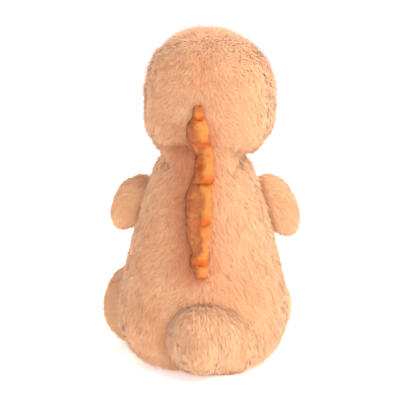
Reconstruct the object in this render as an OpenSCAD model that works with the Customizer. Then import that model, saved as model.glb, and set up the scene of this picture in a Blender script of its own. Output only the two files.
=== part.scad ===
// Plush dinosaur that sits on a flat seat: body, head, arms, legs, tail and a scalloped crest.
// Millimetres. +Z is up, the toy looks along -Y, its own left side is +X.
// The origin is the middle of the flat seat, on the floor.

/* [Body] */
// Widest width of the body
body_w = 139; // [116:1:167]
// Front to back depth of the body at its widest
body_d = 118; // [100:1:146]
// Height of the widest ring above the floor
belly_z = 45; // [38:1:56]
// Height of the neck opening of the body
neck_z = 178; // [150:1:214]
// Width of the body's neck opening
neck_w = 72; // [70:1:88]
// Front to back depth of the body's neck opening
neck_d = 72; // [70:1:88]
// Width of the flat seat
seat_w = 64; // [54:1:77]
// Front to back depth of the flat seat
seat_d = 70; // [59:1:84]

/* [Fabric] */
// Thickness of the pile fabric
skin_t = 3; // [2:0.5:3.5]
// Thickness of the flat seat patch
seat_t = 3; // [2:0.5:4]

/* [Head] */
// Widest width of the head
head_w = 106; // [89:1:127]
// Front to back depth of the skull without the muzzle
head_d = 100; // [92:1:120]
// Height of the head's widest ring above the neck opening
head_rise = 52; // [46:1:62]
// Rise of the crown above the head's widest ring
crown_h = 62; // [52:1:74]
// Half height of the lower head if it ran down to a point
jaw_h = 62; // [56:1:74]
// Sideways lean of the head at its widest
head_lean = -5; // [-6:0.5:6]
// Forward carry of the head at its widest
head_forward = 6; // [0:0.5:9]
// Angle that the head is sewn on at, about the vertical
head_turn = -7; // [-12:1:12]
// How far the muzzle stands out
muzzle_out = 24; // [14:1:29]
// Height of the muzzle's middle below the head's widest ring
muzzle_drop = 20; // [14:1:24]
// Half height of the muzzle
muzzle_half_h = 36; // [28:1:43]

/* [Neck] */
// Radius of the ball of filling in the neck
neck_ball_r = 32; // [26:0.5:33]
// Gap round the ball of filling
neck_gap = 1; // [0.8:0.1:1.5]
// Open height between the body's neck edge and the head's lower edge
neck_slot = 10; // [9:0.5:12]

/* [Eyes] */
// Radius of an eye
eye_r = 6.5; // [5:0.5:8]
// Angle of an eye to the side of straight ahead
eye_angle = 38; // [30:1:46]
// Height of the eyes above the head's widest ring
eye_up = 8; // [4:1:14]
// Radius of an eye's shank
shank_r = 2; // [1.5:0.1:2.4]
// Length of an eye's shank behind the eye
shank_l = 12; // [9:0.5:14]
// Radius of the washer that holds an eye
washer_r = 7; // [5:0.5:8.5]
// Thickness of the washer
washer_t = 1.5; // [1:0.1:2]
// Radius of the face thread
thread_r = 0.8; // [0.5:0.1:1]

/* [Arms] */
// Length of an arm from its seam to its tip
arm_l = 25; // [21:1:30]
// Height of an arm
arm_h = 50; // [42:1:60]
// Thickness of an arm
arm_t = 24; // [20:1:28]
// Radius of an arm's rolled edge at the seam
arm_root_r = 5; // [4:0.5:6]
// Height of the middle of the arm's seam
arm_z = 142; // [132:1:146]
// Place of the arm's seam in front of the middle of the body's side
arm_y = -8; // [-14:1:-2]
// Angle of the arms forward of straight out
arm_forward = 50; // [40:1:56]
// Angle that the arms hang down by
arm_droop = 24; // [0:1:28]
// Gap between an arm's edge and the body
arm_gap = 0.8; // [0.5:0.1:1.5]

/* [Legs] */
// Radius of a leg
leg_r = 36; // [30:0.5:40]
// Length of a leg from its hip to the sole
leg_l = 48; // [40:1:57]
// Distance of the hips from the middle of the body
hip_x = 39.5; // [36:0.5:44]
// Distance of the hips in front of the middle of the body
hip_y = 66; // [62:1:72]
// Angle of the left leg outward
left_splay = 45; // [0:1:48]
// Angle of the right leg outward
right_splay = 3; // [0:1:44]
// Gap between a leg and the body
hip_gap = 2; // [1.5:0.1:3]

/* [Tail] */
// Radius of the tail's root
tail_r = 26; // [22:0.5:28]
// Length of the tail from its root's middle to its tip
tail_l = 27; // [23:1:33]
// Radius of the tail's end
tail_end_r = 17; // [13:0.5:20]
// Distance of the tail's root behind the middle of the body
tail_y = 62; // [58:1:68]
// Height of the tail's root
tail_z = 31.5; // [29.5:0.5:36]
// Angle that the tail points down by
tail_droop = 16; // [8:1:20]
// Angle that the tail points to its right by
tail_aside = 6; // [0:1:16]
// Gap between the tail and the body
tail_gap = 2.6; // [2.2:0.1:3.2]

/* [Crest] */
// Reach of the tallest scallop from the back
crest_h = 23; // [18:1:28]
// Reach between two scallops
crest_valley_h = 13; // [11.5:0.5:16]
// Half thickness of the crest along its root
crest_root_r = 5; // [4:0.5:6]
// Half thickness of the crest along its edge
crest_edge_r = 4.2; // [3:0.2:5]
// Thickness of the crest's fabric
crest_skin = 1.5; // [1:0.1:2]
// Gap between the crest and the back
crest_gap = 0.9; // [0.6:0.1:1.5]
// Height of the crest's lower end
crest_low_z = 84; // [78:1:92]
// Height of the small lowest scallop
scallop_low_h = 13; // [10:0.5:16]
// Height of each of the two scallops on the back
scallop_back_h = 32; // [26:0.5:36]
// Height of the scallop on the neck
scallop_neck_h = 18; // [16:0.5:19.5]
// Height of the scallop on the back of the head
scallop_head_h = 31; // [25:0.5:36]
// Height of the small top scallop
scallop_top_h = 11; // [9:0.5:14]
// Gap between two stretches of the crest that move apart
crest_break = 4.5; // [3.5:0.5:6]

/* [Seat filling] */
// Height of the pouch of pellets
pouch_h = 26; // [20:1:32]
// Share of the seat's inside that the pouch of pellets covers
pouch_share = 0.85; // [0.7:0.01:0.95]
// Thickness of the pouch's cloth
pouch_t = 1; // [0.6:0.1:1.5]

/* [Hidden] */

// Points round one ring of the body, and round one ring of a limb
round_n = 36;
// Degrees that the columns are moved towards the back and the front
crowding = 8;
limb_n = 24;
// Rings in the curved foot of the body, and above it
foot_rows = 6;
rise_rows = 12;
// How much closer the rows of the body stand near its widest height
row_power = 1.2;
// The ring of the body where the base band ends
band_row = 4;
// Power that shapes the slope from belly to neck
slope_power = 1.45;
// Rings of the lower head and of the crown, and the power that squares the crown
jaw_rows = 4;
crown_rows = 8;
crown_power = 2.15;
// Share of the head's lean and carry that its crown takes back
crown_return = 0.7;
// Places round a ring, in steps of 10 degrees from the toy's left, where the panels meet
back_left_cols = [2, 9];
back_right_cols = [9, 16];
side_right_cols = [16, 23];
belly_cols = [23, 31];
side_left_cols = [31, 38];
cheek_right_cols = [16, 24];
face_cols = [24, 30];
cheek_left_cols = [30, 38];

fur = "#f6b98c";
fur_light = "#fbc9a0";
orange = "#f8882c";
filling = "#f4f1ea";

half_body = [body_w, body_d] / 2;
half_neck = [neck_w, neck_d] / 2;
pouch_w = (seat_w - 2 * skin_t) * pouch_share;
pouch_d = (seat_d - 2 * skin_t) * pouch_share;
// Body width at which the room round the hips equals hip_gap
usual_body_w = 139;
// The columns of a wider body stand further apart, so its hollows for the legs are a little larger
hip_room = hip_gap * body_w / usual_body_w;
half_seat = [seat_w, seat_d] / 2;
neck_mid_z = neck_z + neck_slot / 2;
cup_r = neck_ball_r + neck_gap;
head_mid_z = neck_z + head_rise;
head_low_z = neck_z + neck_slot;
hip_z = leg_r + 0.5;
muzzle_z = head_mid_z - muzzle_drop;

// ---- small helpers ----

// The items of a list of lists in one list
function flat(rows) = [for (row = rows) for (item = row) item];

// A power that keeps the sign
function signed_pow(v, p) = sign(v) * pow(abs(v), p);

// The point between two points at a share from the first
function between(a, b, share) = a + (b - a) * share;

// A point pushed towards a goal until it is a radius away from a ball's middle
function dent(p, goal, ball, r) =
    norm(p - ball) >= r ? p :
    let (
        way = goal - p,
        off = p - ball,
        a = way * way,
        b = 2 * way * off,
        c = off * off - r * r
    )
    p + way * (-b + sqrt(b * b - 4 * a * c)) / (2 * a);

// The two triangles of each cell between two rows of points, seen from outside
function cells(first, rows, cols, wrap, turned) = [
    for (i = [0:rows - 2])
        for (j = [0:wrap ? cols - 1 : cols - 2])
            let (
                next = (j + 1) % cols,
                a = first + i * cols + j,
                b = first + i * cols + next,
                c = first + (i + 1) * cols + next,
                d = first + (i + 1) * cols + j
            )
            for (f = turned ? [[a, c, d], [a, b, c]] : [[a, d, c], [a, c, b]]) f
];

// A closed solid through rings of points, with one point that closes each end
module ring_solid(rings, low, high) {
    rows = len(rings);
    cols = len(rings[0]);
    last = (rows - 1) * cols;
    low_i = rows * cols;
    high_i = low_i + 1;
    ends = [
        for (j = [0:cols - 1])
            for (f = [
                [low_i, j, (j + 1) % cols],
                [high_i, last + (j + 1) % cols, last + j]
            ]) f
    ];
    polyhedron(
        points = concat(flat(rings), [low, high]),
        faces = concat(cells(0, rows, cols, true, false), ends),
        convexity = 6
    );
}

// A curved sheet between an outer and an inner net of points. With tips, its last row meets in a point.
module sheet(outer, inner, tips = []) {
    rows = len(outer);
    cols = len(outer[0]);
    k = rows * cols;
    top = k - cols;
    tip_out = 2 * k;
    tip_in = tip_out + 1;
    pointed = len(tips) > 0;
    low_rim = [
        for (j = [0:cols - 2])
            for (f = [[j, j + 1, k + j], [j + 1, k + j + 1, k + j]]) f
    ];
    side_rims = [
        for (i = [0:rows - 2])
            let (a = i * cols, d = a + cols, b = a + cols - 1, c = b + cols)
            for (f = [
                [d, a, k + a], [d, k + a, k + d],
                [b, c, k + b], [c, k + c, k + b]
            ]) f
    ];
    high_rim = pointed ? [] : [
        for (j = [top:top + cols - 2])
            for (f = [[j + 1, j, k + j], [j + 1, k + j, k + j + 1]]) f
    ];
    tip_faces = !pointed ? [] : concat(
        [for (j = [top:top + cols - 2])
            for (f = [[j, tip_out, j + 1], [k + j, k + j + 1, tip_in]]) f],
        [
            [tip_out, top, k + top], [tip_out, k + top, tip_in],
            [k - 1, tip_out, 2 * k - 1], [tip_out, tip_in, 2 * k - 1]
        ]
    );
    polyhedron(
        points = concat(flat(outer), flat(inner), tips),
        faces = concat(
            cells(0, rows, cols, false, false), cells(k, rows, cols, false, true),
            low_rim, side_rims, high_rim, tip_faces
        ),
        convexity = 6
    );
}

// A sheet that runs all the way round. With tips, its last ring is closed by a point.
module ring_sheet(outer, inner, tips = []) {
    rows = len(outer);
    cols = len(outer[0]);
    k = rows * cols;
    top = k - cols;
    tip_out = 2 * k;
    tip_in = tip_out + 1;
    pointed = len(tips) > 0;
    rims = [
        for (j = [0:cols - 1])
            let (n = (j + 1) % cols)
            for (f = concat(
                [[j, n, k + j], [n, k + n, k + j]],
                pointed ? [
                    [top + j, tip_out, top + n], [k + top + j, k + top + n, tip_in]
                ] : [
                    [top + n, top + j, k + top + j], [top + n, k + top + j, k + top + n]
                ]
            )) f
    ];
    polyhedron(
        points = concat(flat(outer), flat(inner), tips),
        faces = concat(
            cells(0, rows, cols, true, false), cells(k, rows, cols, true, true), rims
        ),
        convexity = 6
    );
}

// Some columns of a net of rings, counted round past the last one
function cut_cols(rings, cols) = [
    for (ring = rings) [for (j = [cols[0]:cols[1]]) ring[j % len(ring)]]
];

// Some rows of a net of rings
function cut_rows(rings, low, high) = [for (i = [low:high]) rings[i]];

// The angle of a column round the part. The columns stand closer together at the back and the front.
function round_angle(j) =
    let (u = 360 * j / round_n)
    u + crowding * sin(2 * u);

// ---- body ----

hips = [
    [hip_x, -hip_y, hip_z],
    [-hip_x, -hip_y, hip_z]
];
tail_root = [0, tail_y, tail_z];

// Height, half width and half depth of one ring of the body, a depth under its surface
function body_row(i, under) =
    i <= foot_rows
    ? let (a = 90 * i / foot_rows)
        concat(
            [belly_z * (1 - cos(a)) + (i == 0 ? seat_t * sign(under) : under * cos(a))],
            half_seat + (half_body - half_seat) * sin(a) - [under, under] * sin(a)
        )
    : let (s = pow((i - foot_rows) / rise_rows, row_power))
        concat(
            [between(belly_z, neck_z, s)],
            half_neck + (half_body - half_neck) * (1 - pow(s, slope_power)) - [under, under]
        );

// A point of the body, dented where a leg or the tail turns in it
function body_point(row, t, under) =
    let (
        p = [row[1] * cos(t), row[2] * sin(t), row[0]],
        axis = [0, 0, row[0]],
        a = dent(p, axis, hips[0], leg_r + hip_room + under),
        b = dent(a, axis, hips[1], leg_r + hip_room + under)
    )
    dent(b, axis, tail_root, tail_r + tail_gap + under);

function body_rings(under) = [
    for (i = [0:foot_rows + rise_rows])
        let (row = body_row(i, under))
        [for (j = [0:round_n - 1]) body_point(row, round_angle(j), under)]
];

body_out = body_rings(0);
body_in = body_rings(skin_t);
body_top = foot_rows + rise_rows;

// Distance from the body's middle line to its back at a height
function back_y(z) =
    let (s = max(0, (z - belly_z) / (neck_z - belly_z)))
    half_neck[1] + (half_body[1] - half_neck[1]) * (1 - pow(s, slope_power));

// A ring of the round seat that the neck's ball turns in, at an angle from straight down or up
function cup_ring(angle, way, n) = [
    for (j = [0:n - 1])
        let (t = round_angle(j))
        [
            cup_r * sin(angle) * cos(t),
            cup_r * sin(angle) * sin(t),
            neck_mid_z + way * cup_r * cos(angle)
        ]
];

cup_edge = acos(neck_slot / 2 / cup_r);
cup_angles = [for (share = [1, 0.8, 0.6, 0.4, 0.2]) share * cup_edge];

module body_panel(cols) {
    color(fur)
        sheet(
            cut_rows(cut_cols(body_out, cols), band_row, body_top),
            cut_rows(cut_cols(body_in, cols), band_row, body_top)
        );
}

module torso_back_left() { body_panel(back_left_cols); }
module torso_back_right() { body_panel(back_right_cols); }
module torso_side_left() { body_panel(side_left_cols); }
module torso_side_right() { body_panel(side_right_cols); }
module torso_belly() { body_panel(belly_cols); }

module base_band() {
    color(fur)
        ring_sheet(cut_rows(body_out, 0, band_row), cut_rows(body_in, 0, band_row));
}

module seat_patch() {
    color(fur_light)
        linear_extrude(height = seat_t)
            polygon([for (p = body_out[0]) [p[0], p[1]]]);
}

// The pouch is a lens on the seat patch. The filling is cut away round it.
module lens(w, d, h, low, foot = 0) {
    rows = 5;
    rings = [
        for (i = [0:rows])
            let (a = 80 * i / rows)
            [for (j = [0:round_n - 1])
                let (t = 360 * j / round_n)
                [w / 2 * cos(a) * cos(t), d / 2 * cos(a) * sin(t), low + h * sin(a)]]
    ];
    sunk = [for (p = rings[0]) p - [0, 0, foot]];
    ring_solid(concat(foot > 0 ? [sunk] : [], rings), [0, 0, low - foot], [0, 0, low + h]);
}

module torso_filling() {
    color(filling)
        difference() {
            ring_solid(
                concat(body_in, [for (a = cup_angles) cup_ring(a, -1, round_n)]),
                [0, 0, seat_t],
                [0, 0, neck_mid_z - cup_r]
            );
            lens(pouch_w, pouch_d, pouch_h, seat_t, 1);
        }
}

module pellet_pouch() {
    color("#e9e2d2")
        difference() {
            lens(pouch_w, pouch_d, pouch_h, seat_t);
            lens(pouch_w - 2 * pouch_t, pouch_d - 2 * pouch_t, pouch_h - 2 * pouch_t, seat_t + pouch_t);
        }
}

module pellets() {
    color("#dfe6ea")
        lens(pouch_w - 2 * pouch_t, pouch_d - 2 * pouch_t, pouch_h - 2 * pouch_t, seat_t + pouch_t);
}

// ---- neck ----

module neck_filling() {
    color(filling)
        translate([0, 0, neck_mid_z])
            sphere(r = neck_ball_r, $fn = 72);
}

// ---- head ----

jaw_start = asin((head_low_z - head_mid_z) / jaw_h);

// Amount that the jaw's low edge is let out by where it would cut the neck's stuffing
function let_out(half) = max(0, cup_r + skin_t - half * cos(jaw_start));

// Share of the letting out at an angle down the jaw
function let_share(a) = pow(sin(a) / sin(jaw_start), 3);

// Height, half width and half depth of one ring of the head
function head_row(i, under) =
    i <= jaw_rows
    ? let (a = jaw_start * (1 - i / jaw_rows))
        [
            head_mid_z + (jaw_h - under) * sin(a),
            (head_w / 2 - under) * cos(a) + let_out(head_w / 2) * let_share(a),
            (head_d / 2 - under) * cos(a) + let_out(head_d / 2) * let_share(a)
        ]
    : let (a = 80 * (i - jaw_rows) / crown_rows)
        [
            head_mid_z + (crown_h - under) * signed_pow(sin(a), 2 / crown_power),
            (head_w / 2 - under) * signed_pow(cos(a), 2 / crown_power),
            (head_d / 2 - under) * signed_pow(cos(a), 2 / crown_power)
        ];

// How far the muzzle stands out at a height and an angle round the head
function muzzle(t, z) =
    let (
        across = max(0, -sin(t)),
        up = max(0, cos(min(90, 90 * abs(z - muzzle_z) / muzzle_half_h)))
    )
    muzzle_out * pow(across, 4) * pow(up, 0.8);

// Share of the head's lean and forward carry at a height
function carry(z) =
    z < head_mid_z
    ? max(0, (z - head_low_z) / (head_mid_z - head_low_z))
    : 1 - crown_return * pow((z - head_mid_z) / crown_h, 2);

function head_point(row, t) =
    [
        row[1] * cos(t) + head_lean * carry(row[0]),
        row[2] * sin(t) - muzzle(t, row[0]) - head_forward * carry(row[0]),
        row[0]
    ];

function head_rings(under) = [
    for (i = [0:jaw_rows + crown_rows])
        let (row = head_row(i, under))
        [for (j = [0:round_n - 1]) head_point(row, round_angle(j))]
];

head_out = head_rings(0);
head_in = head_rings(skin_t);
crown_shift = (1 - crown_return) * [head_lean, -head_forward];
crown_out = [crown_shift[0], crown_shift[1], head_mid_z + crown_h];
crown_in = [crown_shift[0], crown_shift[1], head_mid_z + crown_h - skin_t];

// Distance from the head's middle line to its back at a height
function nape_y(z) =
    let (drop = head_mid_z - z)
    (z <= head_mid_z
        ? head_d / 2 * sqrt(1 - pow(drop / jaw_h, 2)) + let_out(head_d / 2) * let_share(-asin(drop / jaw_h))
        : head_d / 2 * pow(1 - pow(-drop / crown_h, crown_power), 1 / crown_power))
    - head_forward * carry(z);

module head_panel(cols) {
    rotate([0, 0, head_turn])
        sheet(cut_cols(head_out, cols), cut_cols(head_in, cols), [crown_out, crown_in]);
}

// Places the children at an eye, with their +Z pointing out of the head
module at_eye(side) {
    t = 270 + side * eye_angle;
    z = head_mid_z + eye_up;
    rise = eye_up / crown_h;
    width = pow(1 - pow(rise, crown_power), 1 / crown_power);
    p = head_point([z, head_w / 2 * width, head_d / 2 * width], t);
    rotate([0, 0, head_turn])
        translate(p)
            rotate([0, 0, t + side * 6])
                rotate([0, 90 - eye_tilt, 0])
                    children();
}

// The angle that the eyes look up by, the depth that they sit in the fabric and the play round them
eye_tilt = 6;
eye_sunk = 1.2;
eye_play = 0.2;

// The room that an eye, its shank and its washer need
module eye_room(side) {
    at_eye(side) {
        translate([0, 0, -eye_sunk])
            cylinder(r = eye_r + eye_play, h = 12, $fn = 48);
        translate([0, 0, -eye_sunk - shank_l - eye_play])
            cylinder(r = shank_r + eye_play, h = shank_l + 1, $fn = 32);
        translate([0, 0, washer_low - eye_play])
            cylinder(r = washer_r + eye_play, h = washer_t + 2 * eye_play, $fn = 48);
    }
}

washer_low = -eye_sunk - shank_l + 2;

module head_back_left() { color(fur) head_panel(back_left_cols); }
module head_back_right() { color(fur) head_panel(back_right_cols); }

module head_cheek(cols, side) {
    color(fur)
        difference() {
            head_panel(cols);
            eye_room(side);
        }
}

module head_cheek_left() { head_cheek(cheek_left_cols, 1); }
module head_cheek_right() { head_cheek(cheek_right_cols, -1); }
module head_face() { color(fur_light) head_panel(face_cols); }

module head_filling() {
    color(filling)
        difference() {
            rotate([0, 0, head_turn])
                ring_solid(
                    concat([for (i = [4:-1:0]) cup_ring(cup_angles[i], 1, round_n)], head_in),
                    [0, 0, neck_mid_z + cup_r],
                    crown_in
                );
            eye_room(1);
            eye_room(-1);
        }
}

module eye(side) {
    color("#1b1512")
        at_eye(side)
            translate([0, 0, -eye_sunk]) {
                intersection() {
                    sphere(r = eye_r, $fn = 64);
                    cylinder(r = eye_r + 1, h = 2 * eye_r, $fn = 64);
                }
                translate([0, 0, -shank_l])
                    cylinder(r = shank_r, h = shank_l + 0.5, $fn = 32);
            }
}

module eye_left() { eye(1); }
module eye_right() { eye(-1); }

module eye_washer(side) {
    color("#f0efe9")
        at_eye(side)
            translate([0, 0, washer_low])
                difference() {
                    cylinder(r = washer_r, h = washer_t, $fn = 48);
                    translate([0, 0, -1])
                        cylinder(r = shank_r, h = washer_t + 2, $fn = 32);
                }
}

module eye_washer_left() { eye_washer(1); }
module eye_washer_right() { eye_washer(-1); }

// A point of the muzzle's surface, from a sideways angle and a height, a height above the fabric
function face_point(side, z, above) =
    let (
        drop = (head_mid_z - z) / jaw_h,
        width = sqrt(1 - drop * drop),
        row = [z, head_w / 2 * width + above, head_d / 2 * width + above]
    )
    head_point(row, 270 + side);

// A round thread along a list of points
module thread(points) {
    n = 6;
    rings = [
        for (i = [0:len(points) - 1])
            let (
                along = points[min(i + 1, len(points) - 1)] - points[max(i - 1, 0)],
                side = cross(along, [0, 1, 0]),
                u = side / norm(side),
                v = cross(along, u) / norm(along)
            )
            [for (j = [0:n - 1])
                points[i] + thread_r * (cos(360 * j / n) * u + sin(360 * j / n) * v)]
    ];
    rotate([0, 0, head_turn])
        ring_solid(rings, points[0], points[len(points) - 1]);
}

// How far the face threads lie above the fabric
thread_lift = thread_r + 0.9;

module nostril_threads() {
    color("#c9713a")
        for (side = [-1, 1])
            thread([for (i = [0:4]) face_point(side * (9 + 1.5 * i), muzzle_z + 12 - 1.2 * i, thread_lift)]);
}

module mouth_thread() {
    color("#b4592c")
        thread([for (i = [-8:8]) face_point(3.4 * i, muzzle_z - 10 + 0.12 * i * i, thread_lift)]);
}

// ---- limbs ----

// Distance along and radius of a limb's rings, a depth under its surface
function limb_rows(r, l, end_r, end_l, under) = concat(
    [for (a = [-66:22:0]) [(r - under) * sin(a), (r - under) * cos(a)]],
    [for (i = [1:3]) let (s = i / 4) [between(0, l - end_l, s), between(r, end_r, s) - under]],
    [for (a = [0:18:72]) [l - end_l + (end_l - under) * sin(a), (end_r - under) * cos(a)]]
);

// Rings along +Y that grow from a ball at the origin
function limb_rings(rows) = [
    for (row = rows)
        [for (j = [0:limb_n - 1])
            let (t = 360 * j / limb_n)
            [row[1] * cos(t), row[0], -row[1] * sin(t)]]
];

// ---- legs ----

sole_curve = 12;
sole_r = leg_r - 2;
leg_out = limb_rings(limb_rows(leg_r, leg_l, sole_r, sole_curve, 0));
leg_in = limb_rings(limb_rows(leg_r, leg_l, sole_r, sole_curve, skin_t));
// The ring where the sole is sewn on
sole_row = 8;
leg_rows = len(leg_out) - 1;

// Turns a limb that was made along +Y to point forward and outward, at a hip
module at_hip(side) {
    splay = side > 0 ? left_splay : right_splay;
    translate([side * hip_x, -hip_y, hip_z])
        rotate([0, 0, 180 + side * splay])
            children();
}

module leg_panel(cols) {
    color(fur)
        sheet(
            cut_rows(cut_cols(leg_out, cols), 0, sole_row),
            cut_rows(cut_cols(leg_in, cols), 0, sole_row)
        );
}

module leg_sole() {
    color(fur_light)
        ring_sheet(
            cut_rows(leg_out, sole_row, leg_rows),
            cut_rows(leg_in, sole_row, leg_rows),
            [[0, leg_l, 0], [0, leg_l - skin_t, 0]]
        );
}

module limb_filling(rings, low_y, tip) {
    color(filling)
        ring_solid(rings, [0, low_y, 0], tip);
}

module leg_filling() { limb_filling(leg_in, -leg_r * 0.93, [0, leg_l - skin_t, 0]); }

upper_cols = [limb_n / 2, limb_n];
under_cols = [0, limb_n / 2];

module leg_left_upper() { at_hip(1) leg_panel(upper_cols); }
module leg_left_under() { at_hip(1) leg_panel(under_cols); }
module leg_left_sole() { at_hip(1) leg_sole(); }
module leg_left_filling() { at_hip(1) leg_filling(); }
module leg_right_upper() { at_hip(-1) leg_panel(upper_cols); }
module leg_right_under() { at_hip(-1) leg_panel(under_cols); }
module leg_right_sole() { at_hip(-1) leg_sole(); }
module leg_right_filling() { at_hip(-1) leg_filling(); }

// ---- tail ----

tail_curve = 12;
tail_out = limb_rings(limb_rows(tail_r, tail_l, tail_end_r, tail_curve, 0));
tail_in = limb_rings(limb_rows(tail_r, tail_l, tail_end_r, tail_curve, skin_t));

module at_tail() {
    translate(tail_root)
        rotate([0, 0, tail_aside])
            rotate([-tail_droop, 0, 0])
                children();
}

module tail_panel(cols) {
    color(fur)
        at_tail()
            sheet(
                cut_cols(tail_out, cols), cut_cols(tail_in, cols),
                [[0, tail_l, 0], [0, tail_l - skin_t, 0]]
            );
}

module tail_left() { tail_panel([18, 26]); }
module tail_right() { tail_panel([10, 18]); }
module tail_under() { tail_panel([2, 10]); }
module tail_filling() { at_tail() limb_filling(tail_in, -tail_r * 0.93, [0, tail_l - skin_t, 0]); }

// ---- arms ----

// Half width of the body's side at a height
function side_x(z) =
    let (s = (z - belly_z) / (neck_z - belly_z))
    half_neck[0] + (half_body[0] - half_neck[0]) * (1 - pow(s, slope_power));

seam_high = arm_z + arm_h / 2;
seam_low = arm_z - arm_h / 2;
// The seam leans in with the body's side
seam_lean = atan((side_x(seam_low) - side_x(seam_high)) / arm_h);
// The body's side is a little rounder than the straight seam
seam_bow = side_x(arm_z) - (side_x(seam_low) + side_x(seam_high)) / 2;
shoulder_x = side_x(arm_z) + max(0, -seam_bow) + arm_root_r + arm_gap;

// Distance along, half height and half thickness of an arm's rings, a depth under its surface
function arm_rows(under) =
    let (
        r = arm_root_r - under,
        h = arm_h / 2 - under,
        t = arm_t / 2 - under,
        full = arm_l * 0.45,
        tip = arm_l - under
    )
    concat(
        [for (a = [-70:35:0]) [r * sin(a), h * 0.9, r * cos(a)]],
        [for (i = [1:3])
            let (s = i / 3)
            [full * s, h * (0.9 + 0.1 * sin(90 * s)), between(r, t, sin(90 * s))]],
        [for (a = [18:18:72]) [full + (tip - full) * sin(a), h * cos(a), t * cos(a)]]
    );

// Rings along +Y, tall along Z
function arm_rings(rows) = [
    for (row = rows)
        [for (j = [0:limb_n - 1])
            let (a = 360 * j / limb_n)
            [row[2] * cos(a), row[0], -row[1] * sin(a) - max(0, row[0]) * tan(arm_droop)]]
];

arm_out = arm_rings(arm_rows(0));
arm_in = arm_rings(arm_rows(skin_t));

// The point at the end of an arm, a depth under its surface
function arm_tip(under) = [0, arm_l - under, -(arm_l - under) * tan(arm_droop)];

module at_shoulder(side) {
    translate([side * shoulder_x, arm_y, arm_z])
        rotate([0, -side * seam_lean, 0])
            rotate([0, 0, -side * (90 + arm_forward)])
                children();
}

module arm_panel(cols) {
    color(fur)
        sheet(
            cut_cols(arm_out, cols), cut_cols(arm_in, cols),
            [arm_tip(0), arm_tip(skin_t)]
        );
}

module arm_filling() { limb_filling(arm_in, -(arm_root_r - skin_t) * 0.97, arm_tip(skin_t)); }

// The half of an arm towards its local +X, and the other half
plus_cols = [18, 30];
minus_cols = [6, 18];

module arm_left_outer() { at_shoulder(1) arm_panel(minus_cols); }
module arm_left_inner() { at_shoulder(1) arm_panel(plus_cols); }
module arm_left_filling() { at_shoulder(1) arm_filling(); }
module arm_right_outer() { at_shoulder(-1) arm_panel(plus_cols); }
module arm_right_inner() { at_shoulder(-1) arm_panel(minus_cols); }
module arm_right_filling() { at_shoulder(-1) arm_filling(); }

// ---- crest ----

// Points of the crest's half outline: round the root, up the side and round the edge
section_n = 8;
crest_rows = 6;

// One cross section of the crest, across its root at a place, with its reach along an outward way
function crest_section(place, way, reach, under) =
    let (
        root = crest_root_r - under,
        edge = crest_edge_r - under,
        up = max(reach - crest_edge_r - crest_root_r, 0.5),
        half = concat(
            [for (a = [-90:30:0]) [root * cos(a), root * sin(a)]],
            [for (a = [0:22.5:90]) [edge * cos(a), up + edge * sin(a)]]
        )
    )
    [for (p = concat(half, [for (i = [section_n - 1:-1:1]) [-half[i][0], half[i][1]]]))
        place + [p[0], 0, 0] + way * p[1]];

// Reach of a scallop at a share of its height. It points down a little, as the scallops of such a crest do.
function scallop(share, low, high) = low + (high - low) * pow(sin(180 * pow(share, 0.625)), 0.7);

// Cross sections up a row of scallops. marks are the heights where they meet. line and shift are the back's
// distance behind the middle and its shift to the side at a height.
function crest_rings(line, shift, marks, reaches, under) = [
    for (n = [0:len(reaches) - 1])
        for (i = [n == 0 ? 0 : 1:crest_rows])
            let (
                share = i / crest_rows,
                z = between(marks[n], marks[n + 1], share),
                slope = atan((line(z + 1) - line(z - 1)) / 2),
                way = [0, cos(slope), -sin(slope)],
                root = [shift(z), line(z), z] + way * (crest_gap + crest_root_r),
                at_end = (n == 0 && i == 0) || (n == len(reaches) - 1 && i == crest_rows),
                reach = at_end ? 0 : scallop(share, crest_valley_h, reaches[n])
            )
            crest_section(root, way, reach, under)
];

module crest_cover(line, shift, marks, reaches, side) {
    cols = side > 0 ? [0, section_n] : [section_n, 2 * section_n];
    color(orange)
        sheet(
            cut_cols(crest_rings(line, shift, marks, reaches, 0), cols),
            cut_cols(crest_rings(line, shift, marks, reaches, crest_skin), cols)
        );
}

module crest_padding(line, shift, marks, reaches) {
    rings = crest_rings(line, shift, marks, reaches, crest_skin);
    low = rings[0];
    high = rings[len(rings) - 1];
    color(filling)
        ring_solid(rings, (low[0] + low[section_n]) / 2, (high[0] + high[section_n]) / 2);
}

// How far the head's scallops start above the head's lower edge, so that the head can tip back
crest_head_clear = 5.5;

// Heights where the scallops meet, from the lowest one up
back_marks = [
    crest_low_z,
    crest_low_z + scallop_low_h,
    crest_low_z + scallop_low_h + scallop_back_h,
    crest_low_z + scallop_low_h + 2 * scallop_back_h
];
neck_marks = [back_marks[3] + crest_break, back_marks[3] + crest_break + scallop_neck_h];
head_marks = [
    head_low_z + crest_head_clear,
    head_low_z + crest_head_clear + scallop_head_h,
    head_low_z + crest_head_clear + scallop_head_h + scallop_top_h
];
back_reaches = [crest_h * 0.65, crest_h, crest_h];
neck_reaches = [crest_h * 0.8];
head_reaches = [crest_h, crest_h * 0.7];

back_line = function (z) back_y(z);
nape_line = function (z) nape_y(z);
// The neck's scallop stands just clear of the body below it
throat_y = side_x(neck_marks[0]) + 1;
throat_line = function (z) throat_y;
middle_line = function (z) 0;
nape_shift = function (z) head_lean * carry(z);

module crest_back_cover_left() { crest_cover(back_line, middle_line, back_marks, back_reaches, 1); }
module crest_back_cover_right() { crest_cover(back_line, middle_line, back_marks, back_reaches, -1); }
module crest_back_padding() { crest_padding(back_line, middle_line, back_marks, back_reaches); }

module crest_neck_cover_left() { crest_cover(throat_line, middle_line, neck_marks, neck_reaches, 1); }
module crest_neck_cover_right() { crest_cover(throat_line, middle_line, neck_marks, neck_reaches, -1); }
module crest_neck_padding() { crest_padding(throat_line, middle_line, neck_marks, neck_reaches); }

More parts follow.
